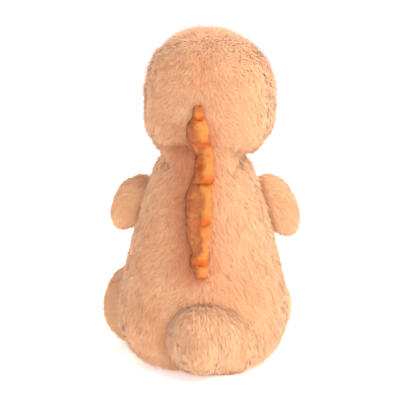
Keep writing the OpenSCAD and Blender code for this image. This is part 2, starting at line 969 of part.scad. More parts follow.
// The tape that holds the neck's scallop to the neck, through the open height below the head
tape_t = 1.6;
tape_h = 2.6;
module crest_neck_tape() {
    color(orange)
        difference() {
            translate([-tape_t / 2, 0, neck_z + crest_gap])
                cube([tape_t, throat_y + crest_gap, tape_h]);
            translate([0, 0, neck_mid_z])
                sphere(r = neck_ball_r, $fn = 72);
        }
}

module turned_head() {
    rotate([0, 0, head_turn])
        children();
}

module crest_head_cover_left() { turned_head() crest_cover(nape_line, nape_shift, head_marks, head_reaches, 1); }
module crest_head_cover_right() { turned_head() crest_cover(nape_line, nape_shift, head_marks, head_reaches, -1); }
module crest_head_padding() { turned_head() crest_padding(nape_line, nape_shift, head_marks, head_reaches); }

torso_back_left();
torso_back_right();
torso_side_left();
torso_side_right();
torso_belly();
base_band();
seat_patch();
torso_filling();
pellet_pouch();
pellets();
neck_filling();
crest_neck_tape();
crest_neck_cover_left();
crest_neck_cover_right();
crest_neck_padding();
head_back_left();
head_back_right();
head_cheek_left();
head_cheek_right();
head_face();
head_filling();
eye_left();
eye_right();
eye_washer_left();
eye_washer_right();
nostril_threads();
mouth_thread();
crest_head_cover_left();
crest_head_cover_right();
crest_head_padding();
crest_back_cover_left();
crest_back_cover_right();
crest_back_padding();
arm_left_outer();
arm_left_inner();
arm_left_filling();
arm_right_outer();
arm_right_inner();
arm_right_filling();
leg_left_upper();
leg_left_under();
leg_left_sole();
leg_left_filling();
leg_right_upper();
leg_right_under();
leg_right_sole();
leg_right_filling();
tail_left();
tail_right();
tail_under();
tail_filling();
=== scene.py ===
"""Looks of a seated stuffed dinosaur: furred skins, a padded crest, glass-bright eyes and a stitched face."""
import logging
import math
from dataclasses import dataclass
from enum import Enum
from typing import Callable, Optional, Sequence

import bpy
import numpy as np
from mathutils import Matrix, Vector
from mathutils.bvhtree import BVHTree


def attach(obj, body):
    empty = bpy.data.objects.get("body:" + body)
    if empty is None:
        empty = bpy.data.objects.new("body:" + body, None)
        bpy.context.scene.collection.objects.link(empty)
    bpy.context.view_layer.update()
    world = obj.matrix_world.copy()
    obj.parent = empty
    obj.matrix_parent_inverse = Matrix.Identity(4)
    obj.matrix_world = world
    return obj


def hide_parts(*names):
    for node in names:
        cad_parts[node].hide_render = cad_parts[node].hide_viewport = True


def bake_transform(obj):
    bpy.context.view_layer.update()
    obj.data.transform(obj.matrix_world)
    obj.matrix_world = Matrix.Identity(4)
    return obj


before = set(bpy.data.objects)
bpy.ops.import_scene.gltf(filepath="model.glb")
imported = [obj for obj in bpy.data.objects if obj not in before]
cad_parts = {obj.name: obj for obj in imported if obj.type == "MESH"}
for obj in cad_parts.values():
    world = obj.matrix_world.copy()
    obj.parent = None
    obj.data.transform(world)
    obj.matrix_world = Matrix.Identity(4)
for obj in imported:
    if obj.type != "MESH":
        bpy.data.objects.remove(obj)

LOG = logging.getLogger("dinosaur")
MM = 0.001
Colour = tuple[float, float, float]
Point = tuple[float, float, float]
Field = Callable[[np.ndarray, np.ndarray], np.ndarray]  # values at places, from them and the skin's normals


class Side(Enum):
    """Which side of the toy a piece is on: its own left is towards +X."""

    LEFT = 1
    RIGHT = -1


class Reach(Enum):
    """Which bodies of the toy a piece lies across: only a piece that rides one body follows it."""

    RIDES = 0
    TORSO_TO_NECK = 1
    NECK_TO_HEAD = 2
    TORSO_TO_TAIL = 3


# ---------------------------------------------------------------- small helpers


def unit(v: np.ndarray) -> np.ndarray:
    """Gives rows of vectors with a length of one.

    Args:
        v: rows of vectors.

    Returns:
        The same directions with a length of one.
    """
    return v / np.maximum(np.linalg.norm(v, axis=-1, keepdims=True), 1e-12)


def smooth_step(v: np.ndarray, low: float, high: float) -> np.ndarray:
    """Rises smoothly from 0 at low to 1 at high.

    Args:
        v: values.
        low: where the rise starts.
        high: where it ends.

    Returns:
        The share of the rise at each value.
    """
    s = np.clip((v - low) / (high - low), 0.0, 1.0)
    return s * s * (3.0 - 2.0 * s)


def ripple(points: np.ndarray, size: float, seed: int, parts: int = 3) -> np.ndarray:
    """Smooth seeded noise through space.

    Args:
        points: places in metres.
        size: width of one wave in metres.
        seed: number that fixes the pattern.
        parts: how many values at each place.

    Returns:
        Values from -1 to 1, a row for each place.
    """
    cells = 24
    grid = np.random.default_rng(seed).uniform(-1.0, 1.0, (cells, cells, cells, parts))
    q = points / size + 1000.0
    low = np.floor(q).astype(int)
    f = q - low
    f = f * f * (3.0 - 2.0 * f)
    out = np.zeros((len(points), parts))
    for dx in (0, 1):
        for dy in (0, 1):
            for dz in (0, 1):
                weight = (
                    (f[:, 0] if dx else 1.0 - f[:, 0])
                    * (f[:, 1] if dy else 1.0 - f[:, 1])
                    * (f[:, 2] if dz else 1.0 - f[:, 2])
                )
                corner = grid[(low[:, 0] + dx) % cells, (low[:, 1] + dy) % cells, (low[:, 2] + dz) % cells]
                out += weight[:, None] * corner
    return out


def bell(v: np.ndarray, middle: float, width: float) -> np.ndarray:
    """A smooth bump of height 1.

    Args:
        v: values.
        middle: where the bump stands.
        width: how far from there it falls to about a third.

    Returns:
        The bump's height at each value.
    """
    return np.exp(-(((v - middle) / width) ** 2))


def angle_gaps(angle: np.ndarray, stops: Sequence[float]) -> np.ndarray:
    """How far angles are from the nearest of some stops.

    Args:
        angle: angles in degrees.
        stops: the stops in degrees.

    Returns:
        The gaps in degrees.
    """
    return np.min([np.abs((angle - stop + 180.0) % 360.0 - 180.0) for stop in stops], axis=0)


def ruffles(p: np.ndarray, across: np.ndarray, seed: int) -> np.ndarray:
    """How the pile is tumbled on the toy's rough left half.

    Args:
        p: places.
        across: how far left each is.
        seed: number that fixes the pattern.

    Returns:
        Turns of the lie, a row each.
    """
    share = smooth_step(across, -0.01, 0.03)
    return (ripple(p, 0.014, seed) * 0.42 + ripple(p, 0.006, seed + 2) * 0.36) * share[:, None]


def pick_only(obj: bpy.types.Object) -> None:
    """Selects one object and makes it active.

    Args:
        obj: the object.
    """
    bpy.ops.object.select_all(action="DESELECT")
    obj.hide_viewport = False
    obj.select_set(True)
    bpy.context.view_layer.objects.active = obj


def apply_modifier(obj: bpy.types.Object, kind: str, **settings: object) -> None:
    """Adds a modifier and applies it at once.

    Args:
        obj: the piece.
        kind: the modifier's type.
        settings: its values by name.
    """
    pick_only(obj)
    modifier = obj.modifiers.new(kind.lower(), kind)
    for name, value in settings.items():
        setattr(modifier, name, value)
    bpy.ops.object.modifier_apply(modifier=modifier.name)


def joined_nodes(nodes: Sequence[str]) -> bpy.types.Object:
    """A merged copy of some nodes of the frame, as a form to wrap or remesh.

    Args:
        nodes: names of the nodes.

    Returns:
        One new object at the origin.
    """
    copies = []
    for name in nodes:
        copy = bpy.data.objects.new("form_" + name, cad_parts[name].data.copy())
        bpy.context.scene.collection.objects.link(copy)
        copies.append(copy)
    pick_only(copies[0])
    for copy in copies:
        copy.select_set(True)
    bpy.ops.object.join()
    bpy.ops.object.mode_set(mode="EDIT")
    bpy.ops.mesh.select_all(action="SELECT")
    bpy.ops.mesh.remove_doubles(threshold=1e-5)
    bpy.ops.object.mode_set(mode="OBJECT")
    return copies[0]


def remove(obj: bpy.types.Object) -> None:
    """Takes a helper object away.

    Args:
        obj: the object.
    """
    bpy.data.objects.remove(obj, do_unlink=True)


def vertex_array(mesh: bpy.types.Mesh) -> np.ndarray:
    """The places of a mesh's vertices, a row each.

    Args:
        mesh: the mesh.

    Returns:
        Places in metres.
    """
    out = np.empty(len(mesh.vertices) * 3)
    mesh.vertices.foreach_get("co", out)
    return out.reshape(-1, 3)


def normal_array(mesh: bpy.types.Mesh) -> np.ndarray:
    """The normals of a mesh's vertices, a row each.

    Args:
        mesh: the mesh.

    Returns:
        Normals with a length of one.
    """
    out = np.empty(len(mesh.vertices) * 3, np.float32)
    mesh.vertex_normals.foreach_get("vector", out)
    return out.reshape(-1, 3).astype(float)


def move_vertices(mesh: bpy.types.Mesh, places: np.ndarray) -> None:
    """Puts a mesh's vertices at new places.

    Args:
        mesh: the mesh.
        places: a row for each vertex.
    """
    mesh.vertices.foreach_set("co", places.ravel())
    mesh.update()


# ---------------------------------------------------------------- finishes


def new_material(name: str) -> tuple[bpy.types.Material, bpy.types.Node, bpy.types.NodeTree]:
    """A material with one main shader.

    Args:
        name: the finish's name.

    Returns:
        The material, its shader node and its tree.
    """
    material = bpy.data.materials.new(name)
    material.use_nodes = True
    tree = material.node_tree
    return material, tree.nodes["Principled BSDF"], tree


def mix_colours(tree: bpy.types.NodeTree, share: bpy.types.NodeSocket, a: object, b: object) -> bpy.types.NodeSocket:
    """Mixes two colours by a share.

    Args:
        tree: the material's tree.
        share: socket with the share of the second colour.
        a: first colour, or its socket.
        b: second colour, or its socket.

    Returns:
        The socket with the mixed colour.
    """
    node = tree.nodes.new("ShaderNodeMix")
    node.data_type = "RGBA"
    tree.links.new(share, node.inputs["Factor"])
    for socket, value in ((node.inputs[6], a), (node.inputs[7], b)):
        if isinstance(value, bpy.types.NodeSocket):
            tree.links.new(value, socket)
        else:
            socket.default_value = (*value, 1.0)
    return node.outputs[2]


def read_attribute(tree: bpy.types.NodeTree, name: str) -> bpy.types.NodeSocket:
    """Reads a number stored on a piece's points.

    Args:
        tree: the material's tree.
        name: the attribute's name.

    Returns:
        The socket with the number.
    """
    node = tree.nodes.new("ShaderNodeAttribute")
    node.attribute_name = name
    return node.outputs["Fac"]


def noise(tree: bpy.types.NodeTree, scale: float, detail: float = 3.0) -> bpy.types.NodeSocket:
    """Noise through the piece's own space.

    Args:
        tree: the material's tree.
        scale: waves in a metre.
        detail: how much fine detail it has.

    Returns:
        The socket with the noise from 0 to 1.
    """
    place = tree.nodes.new("ShaderNodeTexCoord")
    node = tree.nodes.new("ShaderNodeTexNoise")
    node.inputs["Scale"].default_value = scale
    node.inputs["Detail"].default_value = detail
    tree.links.new(place.outputs["Object"], node.inputs["Vector"])
    return node.outputs["Fac"]


def add_bump(tree: bpy.types.NodeTree, shader: bpy.types.Node, height: bpy.types.NodeSocket, depth: float) -> None:
    """Gives a shader small relief.

    Args:
        tree: the material's tree.
        shader: the shader.
        height: socket with the height.
        depth: height of the relief in metres.
    """
    node = tree.nodes.new("ShaderNodeBump")
    node.inputs["Strength"].default_value = 1.0
    node.inputs["Distance"].default_value = depth
    tree.links.new(height, node.inputs["Height"])
    tree.links.new(node.outputs["Normal"], shader.inputs["Normal"])


@dataclass(frozen=True)
class PileFinish:
    """Finish of the fibres of a dyed plush: their colour at the root, along and at the tip."""

    name: str
    # painted shade: the root colour is darker than the body colour, for the shade deep in the pile
    root: Colour
    body: Colour
    tip: Colour
    # painted shade with a redder tone: the deep colour for creases, undersides and the shaded side, and for drifts
    red_tint_and_shade: Colour
    # painted highlight and painted shade with the pile's own paler tones: the second colour of the pile
    pale_tone_and_painted_light: Colour
    sheen: float = 0.7
    sheen_tint: Colour = (1.0, 0.90, 0.84)
    roughness: float = 0.75

    def material(self) -> bpy.types.Material:
        """Makes the material of the fibres.

        Returns:
            The material.
        """
        material, shader, tree = new_material(self.name)
        strand = read_attribute(tree, "strand")
        dark_tone_and_shade = read_attribute(tree, "dark_tone_and_shade")
        red_tint_and_shade = read_attribute(tree, "red_tint_and_shade")
        ramp = tree.nodes.new("ShaderNodeValToRGB")
        # painted shade: the ramp is darkest at the root, for the shade deep in the pile
        ramp.color_ramp.elements[0].color = (*self.root, 1.0)
        ramp.color_ramp.elements[1].color = (*self.tip, 1.0)
        middle = ramp.color_ramp.elements.new(0.45)
        middle.color = (*self.body, 1.0)
        tree.links.new(strand, ramp.inputs["Fac"])
        # painted shade with a redder tone: mixes towards the deep colour where the skin's fields ask, in creases, on
        # undersides and on the shaded side, and in random drifts
        tinted_and_shaded = mix_colours(tree, red_tint_and_shade, ramp.outputs["Color"], self.red_tint_and_shade)
        # painted highlight and painted shade with the pile's own paler tones: mixes towards the second colour on seams,
        # on the lit crown and tail, and on the crest's shaded left face
        faded_and_painted_light = mix_colours(tree, read_attribute(tree, "pale_tone_and_painted_light"), tinted_and_shaded, self.pale_tone_and_painted_light)
        # painted shade with random tone: darkens towards the deep shade colour in tufts and where the skin's shade
        # field asks
        shaded = mix_colours(tree, dark_tone_and_shade, faded_and_painted_light, tuple(c * 0.72 for c in self.red_tint_and_shade))
        tree.links.new(shaded, shader.inputs["Base Color"])
        shader.inputs["Roughness"].default_value = self.roughness
        shader.inputs["Specular IOR Level"].default_value = 0.15
        shader.inputs["Sheen Weight"].default_value = self.sheen
        shader.inputs["Sheen Roughness"].default_value = 0.4
        shader.inputs["Sheen Tint"].default_value = (*self.sheen_tint, 1.0)
        return material


@dataclass(frozen=True)
class BackingFinish:
    """Finish of the knitted backing under a pile."""

    name: str
    colour: Colour
    deep: Colour
    grain: float = 900.0

    def material(self) -> bpy.types.Material:
        """Makes the material of the backing.

        Returns:
            The material.
        """
        material, shader, tree = new_material(self.name)
        fine = noise(tree, self.grain, 4.0)
        tree.links.new(mix_colours(tree, fine, self.colour, self.deep), shader.inputs["Base Color"])
        shader.inputs["Roughness"].default_value = 0.95
        shader.inputs["Specular IOR Level"].default_value = 0.05
        shader.inputs["Sheen Weight"].default_value = 0.2
        add_bump(tree, shader, fine, 0.0008)
        return material


@dataclass(frozen=True)
class SmoothFinish:
    """Finish of a hard or bare piece, with a fine grain."""

    name: str
    colour: Colour
    second: Colour
    roughness: float
    grain: float = 1500.0
    relief: float = 0.0
    coat: float = 0.0

    def material(self) -> bpy.types.Material:
        """Makes the material.

        Returns:
            The material.
        """
        material, shader, tree = new_material(self.name)
        fine = noise(tree, self.grain, 2.0)
        tree.links.new(mix_colours(tree, fine, self.colour, self.second), shader.inputs["Base Color"])
        shader.inputs["Roughness"].default_value = self.roughness
        shader.inputs["Coat Weight"].default_value = self.coat
        shader.inputs["Coat Roughness"].default_value = 0.03
        if self.relief:
            add_bump(tree, shader, fine, self.relief)
        return material


@dataclass(frozen=True)
class Finishes:
    """All the finishes of the toy, each made once."""

    peach: bpy.types.Material
    light: bpy.types.Material
    orange: bpy.types.Material
    backing: bpy.types.Material
    crest_backing: bpy.types.Material
    eye: bpy.types.Material
    washer: bpy.types.Material
    pouch: bpy.types.Material
    pellets: bpy.types.Material
    thread: bpy.types.Material

    @staticmethod
    def make() -> "Finishes":
        """Makes every material.

        Returns:
            The finishes.
        """
        return Finishes(
            # painted shade: each pile's first colour, at the root, is darker for the shade deep in the pile
            peach=PileFinish(
                "peach pile", (0.84, 0.43, 0.22), (0.91, 0.53, 0.285), (0.95, 0.61, 0.35), (0.90, 0.36, 0.17),
                (0.95, 0.65, 0.42),
            ).material(),
            light=PileFinish(
                "light pile", (0.76, 0.44, 0.26), (0.90, 0.62, 0.42), (0.95, 0.72, 0.52), (0.88, 0.50, 0.30),
                (0.95, 0.74, 0.58),
            ).material(),
            # painted shade: the crest pile's deep orange is for the shaded undersides of the scallops, and its dull
            # dark second colour for the shaded left face
            orange=PileFinish(
                "crest pile", (0.90, 0.30, 0.05), (0.95, 0.39, 0.085), (0.96, 0.50, 0.16), (0.90, 0.16, 0.012),
                (0.70, 0.25, 0.10), sheen=0.3, sheen_tint=(1.0, 0.80, 0.60),
            ).material(),
            backing=BackingFinish("plush backing", (0.90, 0.50, 0.27), (0.84, 0.42, 0.21)).material(),
            crest_backing=BackingFinish("crest backing", (0.82, 0.32, 0.09), (0.74, 0.24, 0.05)).material(),
            eye=SmoothFinish("eye black", (0.006, 0.005, 0.005), (0.010, 0.008, 0.007), 0.08, coat=1.0).material(),
            washer=SmoothFinish("washer white", (0.80, 0.79, 0.74), (0.74, 0.73, 0.69), 0.45).material(),
            pouch=SmoothFinish("pouch cloth", (0.78, 0.73, 0.62), (0.62, 0.57, 0.47), 0.9, 700.0, 0.0004).material(),
            pellets=SmoothFinish("pellets", (0.74, 0.78, 0.80), (0.30, 0.33, 0.35), 0.5, 420.0, 0.002).material(),
            thread=SmoothFinish("face thread", (0.50, 0.17, 0.06), (0.33, 0.10, 0.035), 0.6, 2400.0, 0.0003).material(),
        )


# ---------------------------------------------------------------- skins


SEWN_TOGETHER = ({"torso", "head"}, {"torso", "tail"}, {"neck", "crest_back"}, {"neck", "crest_head"})


@dataclass
class Skin:
    """A stuffed skin and what its pile needs to know of it."""

    obj: bpy.types.Object
    body: str
    reach: Reach = Reach.RIDES
    gap: Optional[np.ndarray] = None

    def measure_gaps(self, skins: Sequence["Skin"]) -> None:
        """Stores how far each vertex is from the skins that this one isn't sewn to.

        Args:
            skins: all the skins.
        """
        places = vertex_array(self.obj.data)
        nearest = np.full(len(places), 1.0)
        for other in skins:
            if other is self or {self.body, other.body} in SEWN_TOGETHER:
                continue
            mesh = other.obj.data
            tree = BVHTree.FromPolygons([v.co[:] for v in mesh.vertices], [p.vertices[:] for p in mesh.polygons])
            low, high = vertex_array(mesh).min(0) - 0.02, vertex_array(mesh).max(0) + 0.02
            close = np.nonzero(((places > low) & (places < high)).all(1))[0]
            for i in close:
                hit, normal, _, distance = tree.find_nearest(places[i], 0.02)
                if hit is None:
                    continue
                inside = (Vector(places[i]) - hit).dot(normal) < 0.0
                nearest[i] = min(nearest[i], -distance if inside else distance)
        self.gap = nearest

    def follow(self, piece: bpy.types.Object) -> None:
        """Makes a piece move with this skin's body when the skin rides one body; otherwise only bakes the piece's place
        into its mesh.

        Args:
            piece: a finished piece with no parent.
        """
        if self.reach is Reach.TORSO_TO_NECK:
            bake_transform(piece)
        elif self.reach is Reach.NECK_TO_HEAD:
            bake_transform(piece)
        elif self.reach is Reach.TORSO_TO_TAIL:
            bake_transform(piece)
        else:
            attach(piece, self.body)


@dataclass(frozen=True)
class SkinForm:
    """How a round skin is drawn over its form: a ball is put round it, shrunk onto it and eased."""

    name: str
    nodes: tuple[str, ...]
    segments: int = 72
    rings: int = 48
    room: float = 1.5
    easing: int = 6
    stand_off: float = 1.8 * MM

    def wrap(self) -> bpy.types.Object:
        """Models the skin.

        Returns:
            The new object, at the origin.
        """
        form = joined_nodes(self.nodes)
        places = vertex_array(form.data)
        low, high = places.min(0), places.max(0)
        middle, half = (low + high) / 2, (high - low) / 2
        bpy.ops.object.select_all(action="DESELECT")
        bpy.ops.mesh.primitive_uv_sphere_add(
            segments=self.segments, ring_count=self.rings, radius=1.0, location=tuple(middle),
            scale=tuple(half * self.room),
        )
        skin = bpy.context.object
        skin.name = self.name
        bpy.ops.object.transform_apply(location=True, rotation=True, scale=True)
        apply_modifier(
            skin, "SHRINKWRAP", target=form, wrap_method="PROJECT", use_negative_direction=True,
            use_positive_direction=False, offset=self.stand_off,
        )
        apply_modifier(skin, "SMOOTH", factor=0.5, iterations=self.easing)
        p = vertex_array(skin.data)
        p[:, 2] = np.maximum(p[:, 2], 0.2 * MM)
        move_vertices(skin.data, p)
        skin.data.uv_layers[0].name = "OFBake"
        bpy.ops.object.shade_smooth()
        remove(form)
        return skin


# ---------------------------------------------------------------- pile


@dataclass(frozen=True)
class Pile:
    """How the fibres of a plush stand: their length, width, number and lie."""

    length: float = 0.0080
    width: float = 0.00055
    per_mm2: float = 3.3
    lift_root: float = 36.0
    lift_tip: float = 6.0
    stray: float = 0.06
    tuft: float = 0.0038
    tuft_strength: float = 0.40
    swirl: float = 0.022
    swirl_strength: float = 0.35
    spread: float = 0.40


@dataclass
class Coat:
    """The pile of one skin: roots strewn over it, combed, and sewn up as separate pieces by panel."""

    skin: Skin
    pile: Pile
    nap: Field
    seed: int
    density: Optional[Field] = None
    growth: Optional[Field] = None
    red_tint_and_shade: Optional[Field] = None
    pale_tone_and_painted_light: Optional[Field] = None
    shade: Optional[Field] = None
    room: float = 0.005

    def strew(self) -> tuple[np.ndarray, np.ndarray, np.ndarray]:
        """Chooses where the fibres stand.

        Returns:
            Their roots, the skin's normals there, and the gap to the nearest other skin.
        """
        mesh = self.skin.obj.data
        mesh.calc_loop_triangles()
        triangles = np.empty(len(mesh.loop_triangles) * 3, np.int32)
        mesh.loop_triangles.foreach_get("vertices", triangles)
        triangles = np.sort(triangles.reshape(-1, 3), 1)
        triangles = triangles[np.lexsort(triangles.T)]  # Blender may number a mesh's faces anew in each run
        places, normals = vertex_array(mesh), normal_array(mesh)
        a, b, c = (places[triangles[:, k]] for k in range(3))
        area = np.linalg.norm(np.cross(b - a, c - a), axis=1) / 2
        middle = (a + b + c) / 3
        weight = area * (self.density(middle, unit(normals[triangles[:, 0]])) if self.density else 1.0)
        rng = np.random.default_rng(self.seed)
        count = int(weight.sum() * 1e6 * self.pile.per_mm2)
        chosen = rng.choice(len(triangles), count, p=weight / weight.sum())
        u, v = rng.random((2, count))
        flip = u + v > 1
        u[flip], v[flip] = 1 - u[flip], 1 - v[flip]
        shares = np.stack([1 - u - v, u, v], 1)[:, :, None]
        corners = triangles[chosen]
        roots = (places[corners] * shares).sum(1)
        out = unit((normals[corners] * shares).sum(1))
        gap = self.skin.gap if self.skin.gap is not None else np.full(len(places), 1.0)
        return roots, out, (gap[corners] * shares[:, :, 0]).sum(1)

    def comb(self) -> dict[str, np.ndarray]:
        """Works out each fibre's shape and shade.

        Returns:
            Arrays by name: roots, out, along, length, blush, lock, fade.
        """
        roots, out, gap = self.strew()
        rng = np.random.default_rng(self.seed + 1)
        p = self.pile
        lie = self.nap(roots, out)
        lie = lie + ripple(roots, p.swirl, self.seed + 2) * p.swirl_strength
        lie = lie + ripple(roots, p.tuft, self.seed + 3) * p.tuft_strength
        lie = lie + rng.normal(0.0, p.spread, lie.shape)
        along = unit(lie - (lie * out).sum(1, keepdims=True) * out)
        length = p.length * (0.82 + 0.30 * rng.random(len(roots)))
        length *= 1.0 + 0.22 * ripple(roots, p.tuft * 1.6, self.seed + 4, 1)[:, 0]
        if self.growth:
            length *= self.growth(roots, out)
        length = np.minimum(length, np.maximum(gap, 0.0) * 1.4 + self.room)
        keep = gap > -0.0005
        dark_tone_and_shade = 0.08 + 0.14 * ripple(roots, p.tuft * 1.3, self.seed + 5, 1)[:, 0] + rng.normal(0.0, 0.09, len(roots))
        # painted shade: the skin's shade field darkens the pile; the two fields below also carry painted shade and
        # painted highlight, besides real tone drifts
        if self.shade:
            dark_tone_and_shade = dark_tone_and_shade + self.shade(roots, out)
        red_tint_and_shade = self.red_tint_and_shade(roots, out) if self.red_tint_and_shade else np.zeros(len(roots))
        pale_tone_and_painted_light = self.pale_tone_and_painted_light(roots, out) if self.pale_tone_and_painted_light else np.zeros(len(roots))
        return {
            name: value[keep]
            for name, value in {
                "roots": roots, "out": out, "along": along, "length": length,
                "red_tint_and_shade": np.clip(red_tint_and_shade, 0.0, 1.0), "dark_tone_and_shade": np.clip(dark_tone_and_shade, 0.0, 1.0),
                "pale_tone_and_painted_light": np.clip(pale_tone_and_painted_light, 0.0, 1.0),
            }.items()
        }

    def sew_panels(
        self, fibres: dict[str, np.ndarray], panels: dict[str, np.ndarray], finish: bpy.types.Material
    ) -> list[bpy.types.Object]:
        """Models the pile of some panels, a piece for each.

        Args:
            fibres: arrays from comb().
            panels: which fibres each piece has, by the piece's name.
            finish: the fibres' material.

        Returns:
            The new pieces.
        """
        return [
            self.sew(name, {key: value[mask] for key, value in fibres.items()}, finish)
            for name, mask in panels.items()
        ]

    def sew(self, name: str, fibres: dict[str, np.ndarray], finish: bpy.types.Material) -> bpy.types.Object:
        """Models one panel's fibres as thin bent blades.

        Args:
            name: the piece's name.
            fibres: arrays from comb(), for this panel.
            finish: the fibres' material.

        Returns:
            The new piece.
        """
        rng = np.random.default_rng(self.seed + 7)
        p = self.pile
        n, d, roots = fibres["out"], fibres["along"], fibres["roots"]
        length = fibres["length"][:, None]
        count = len(roots)
        wild = (rng.random(count) < p.stray) * 26.0
        lift = np.radians(p.lift_root + wild + rng.normal(0.0, 7.0, count))[:, None]
        ease = np.radians(p.lift_tip + wild + rng.normal(0.0, 5.0, count))[:, None]
        first = np.cos(lift) * d + np.sin(lift) * n
        second = np.cos(ease) * d + np.sin(ease) * n
        twist = np.clip(rng.normal(0.0, 0.45, count), -0.9, 0.9)[:, None]
        across = np.cos(twist) * np.cross(d, n) + np.sin(twist) * n
        half = p.width / 2 * (0.75 + 0.5 * rng.random(count))[:, None]
        foot = roots - 0.0006 * n
        knee = foot + first * length * 0.42
        tip = knee + second * length * 0.60
        points = np.stack(
            [foot - across * half * 0.8, foot + across * half * 0.8, knee + across * half, knee - across * half, tip], 1
        )
        points[:, :, 2] = np.maximum(points[:, :, 2], 0.3 * MM)
        facing = unit(np.cross(across, unit(tip - foot)))
        soft = unit(0.80 * n + 0.32 * facing + rng.normal(0.0, 0.16, (count, 3)))
        return blades(name, points, soft, fibres, finish)


STRAND = np.array([0.0, 0.0, 0.5, 0.5, 1.0])


def atlas_cells(places: np.ndarray) -> tuple[np.ndarray, int]:
    """Gives each fibre its own small cell of a map, with neighbours side by side.

    Args:
        places: the fibres' roots.

    Returns:
        The lower left corner of each cell, and the number of cells in a row.
    """
    count = len(places)
    side = int(math.ceil(math.sqrt(count)))
    row = np.empty(count, int)
    row[np.argsort(places[:, 2], kind="stable")] = np.arange(count) // side
    middle = places.mean(0)
    turn = np.arctan2(places[:, 1] - middle[1], places[:, 0] - middle[0])
    order = np.lexsort((turn, row))
    column = np.empty(count, int)
    column[order] = np.arange(count) % side
    return np.stack([column, row], 1) / side, side


def blades(
    name: str, points: np.ndarray, soft: np.ndarray, fibres: dict[str, np.ndarray], finish: bpy.types.Material
) -> bpy.types.Object:
    """Makes one mesh of many blades of five points: a quad and a tip.

    Args:
        name: the piece's name.
        points: five places for each blade.
        soft: the shading normal of each blade.
        fibres: arrays with each blade's root, lock, blush and fade.
        finish: the material.

    Returns:
        The new piece.
    """
    count = len(points)
    mesh = bpy.data.meshes.new(name)
    mesh.vertices.add(count * 5)
    mesh.vertices.foreach_set("co", points.astype(np.float32).ravel())
    base = np.arange(count)[:, None] * 5
    loops = (base + np.array([0, 1, 2, 3, 3, 2, 4])).ravel()
    mesh.loops.add(count * 7)
    mesh.loops.foreach_set("vertex_index", loops.astype(np.int32))
    mesh.polygons.add(count * 2)
    starts = (np.arange(count)[:, None] * 7 + np.array([0, 4])).ravel()
    mesh.polygons.foreach_set("loop_start", starts.astype(np.int32))
    mesh.polygons.foreach_set("use_smooth", np.ones(count * 2, bool))
    mesh.update(calc_edges=True)
    for label, value in (
        ("strand", np.tile(STRAND, count)),
        ("dark_tone_and_shade", np.repeat(fibres["dark_tone_and_shade"], 5)),
        ("red_tint_and_shade", np.repeat(fibres["red_tint_and_shade"], 5)),
        ("pale_tone_and_painted_light", np.repeat(fibres["pale_tone_and_painted_light"], 5)),
    ):
        mesh.attributes.new(label, "FLOAT", "POINT").data.foreach_set("value", value.astype(np.float32))
    cells, side = atlas_cells(fibres["roots"])
    corner = np.array([[0.15, 0.1], [0.85, 0.1], [0.85, 0.5], [0.15, 0.5], [0.5, 0.9]]) / side
    uv = (cells[:, None, :] + corner[None, :, :]).reshape(-1, 2)[loops]
    mesh.uv_layers.new(name="OFBake").data.foreach_set("uv", uv.astype(np.float32).ravel())
    mesh.normals_split_custom_set_from_vertices(np.repeat(soft, 5, axis=0).astype(np.float32))
    mesh.materials.append(finish)
    piece = bpy.data.objects.new(name, mesh)
    bpy.context.scene.collection.objects.link(piece)
    return piece


# ---------------------------------------------------------------- sub-assemblies


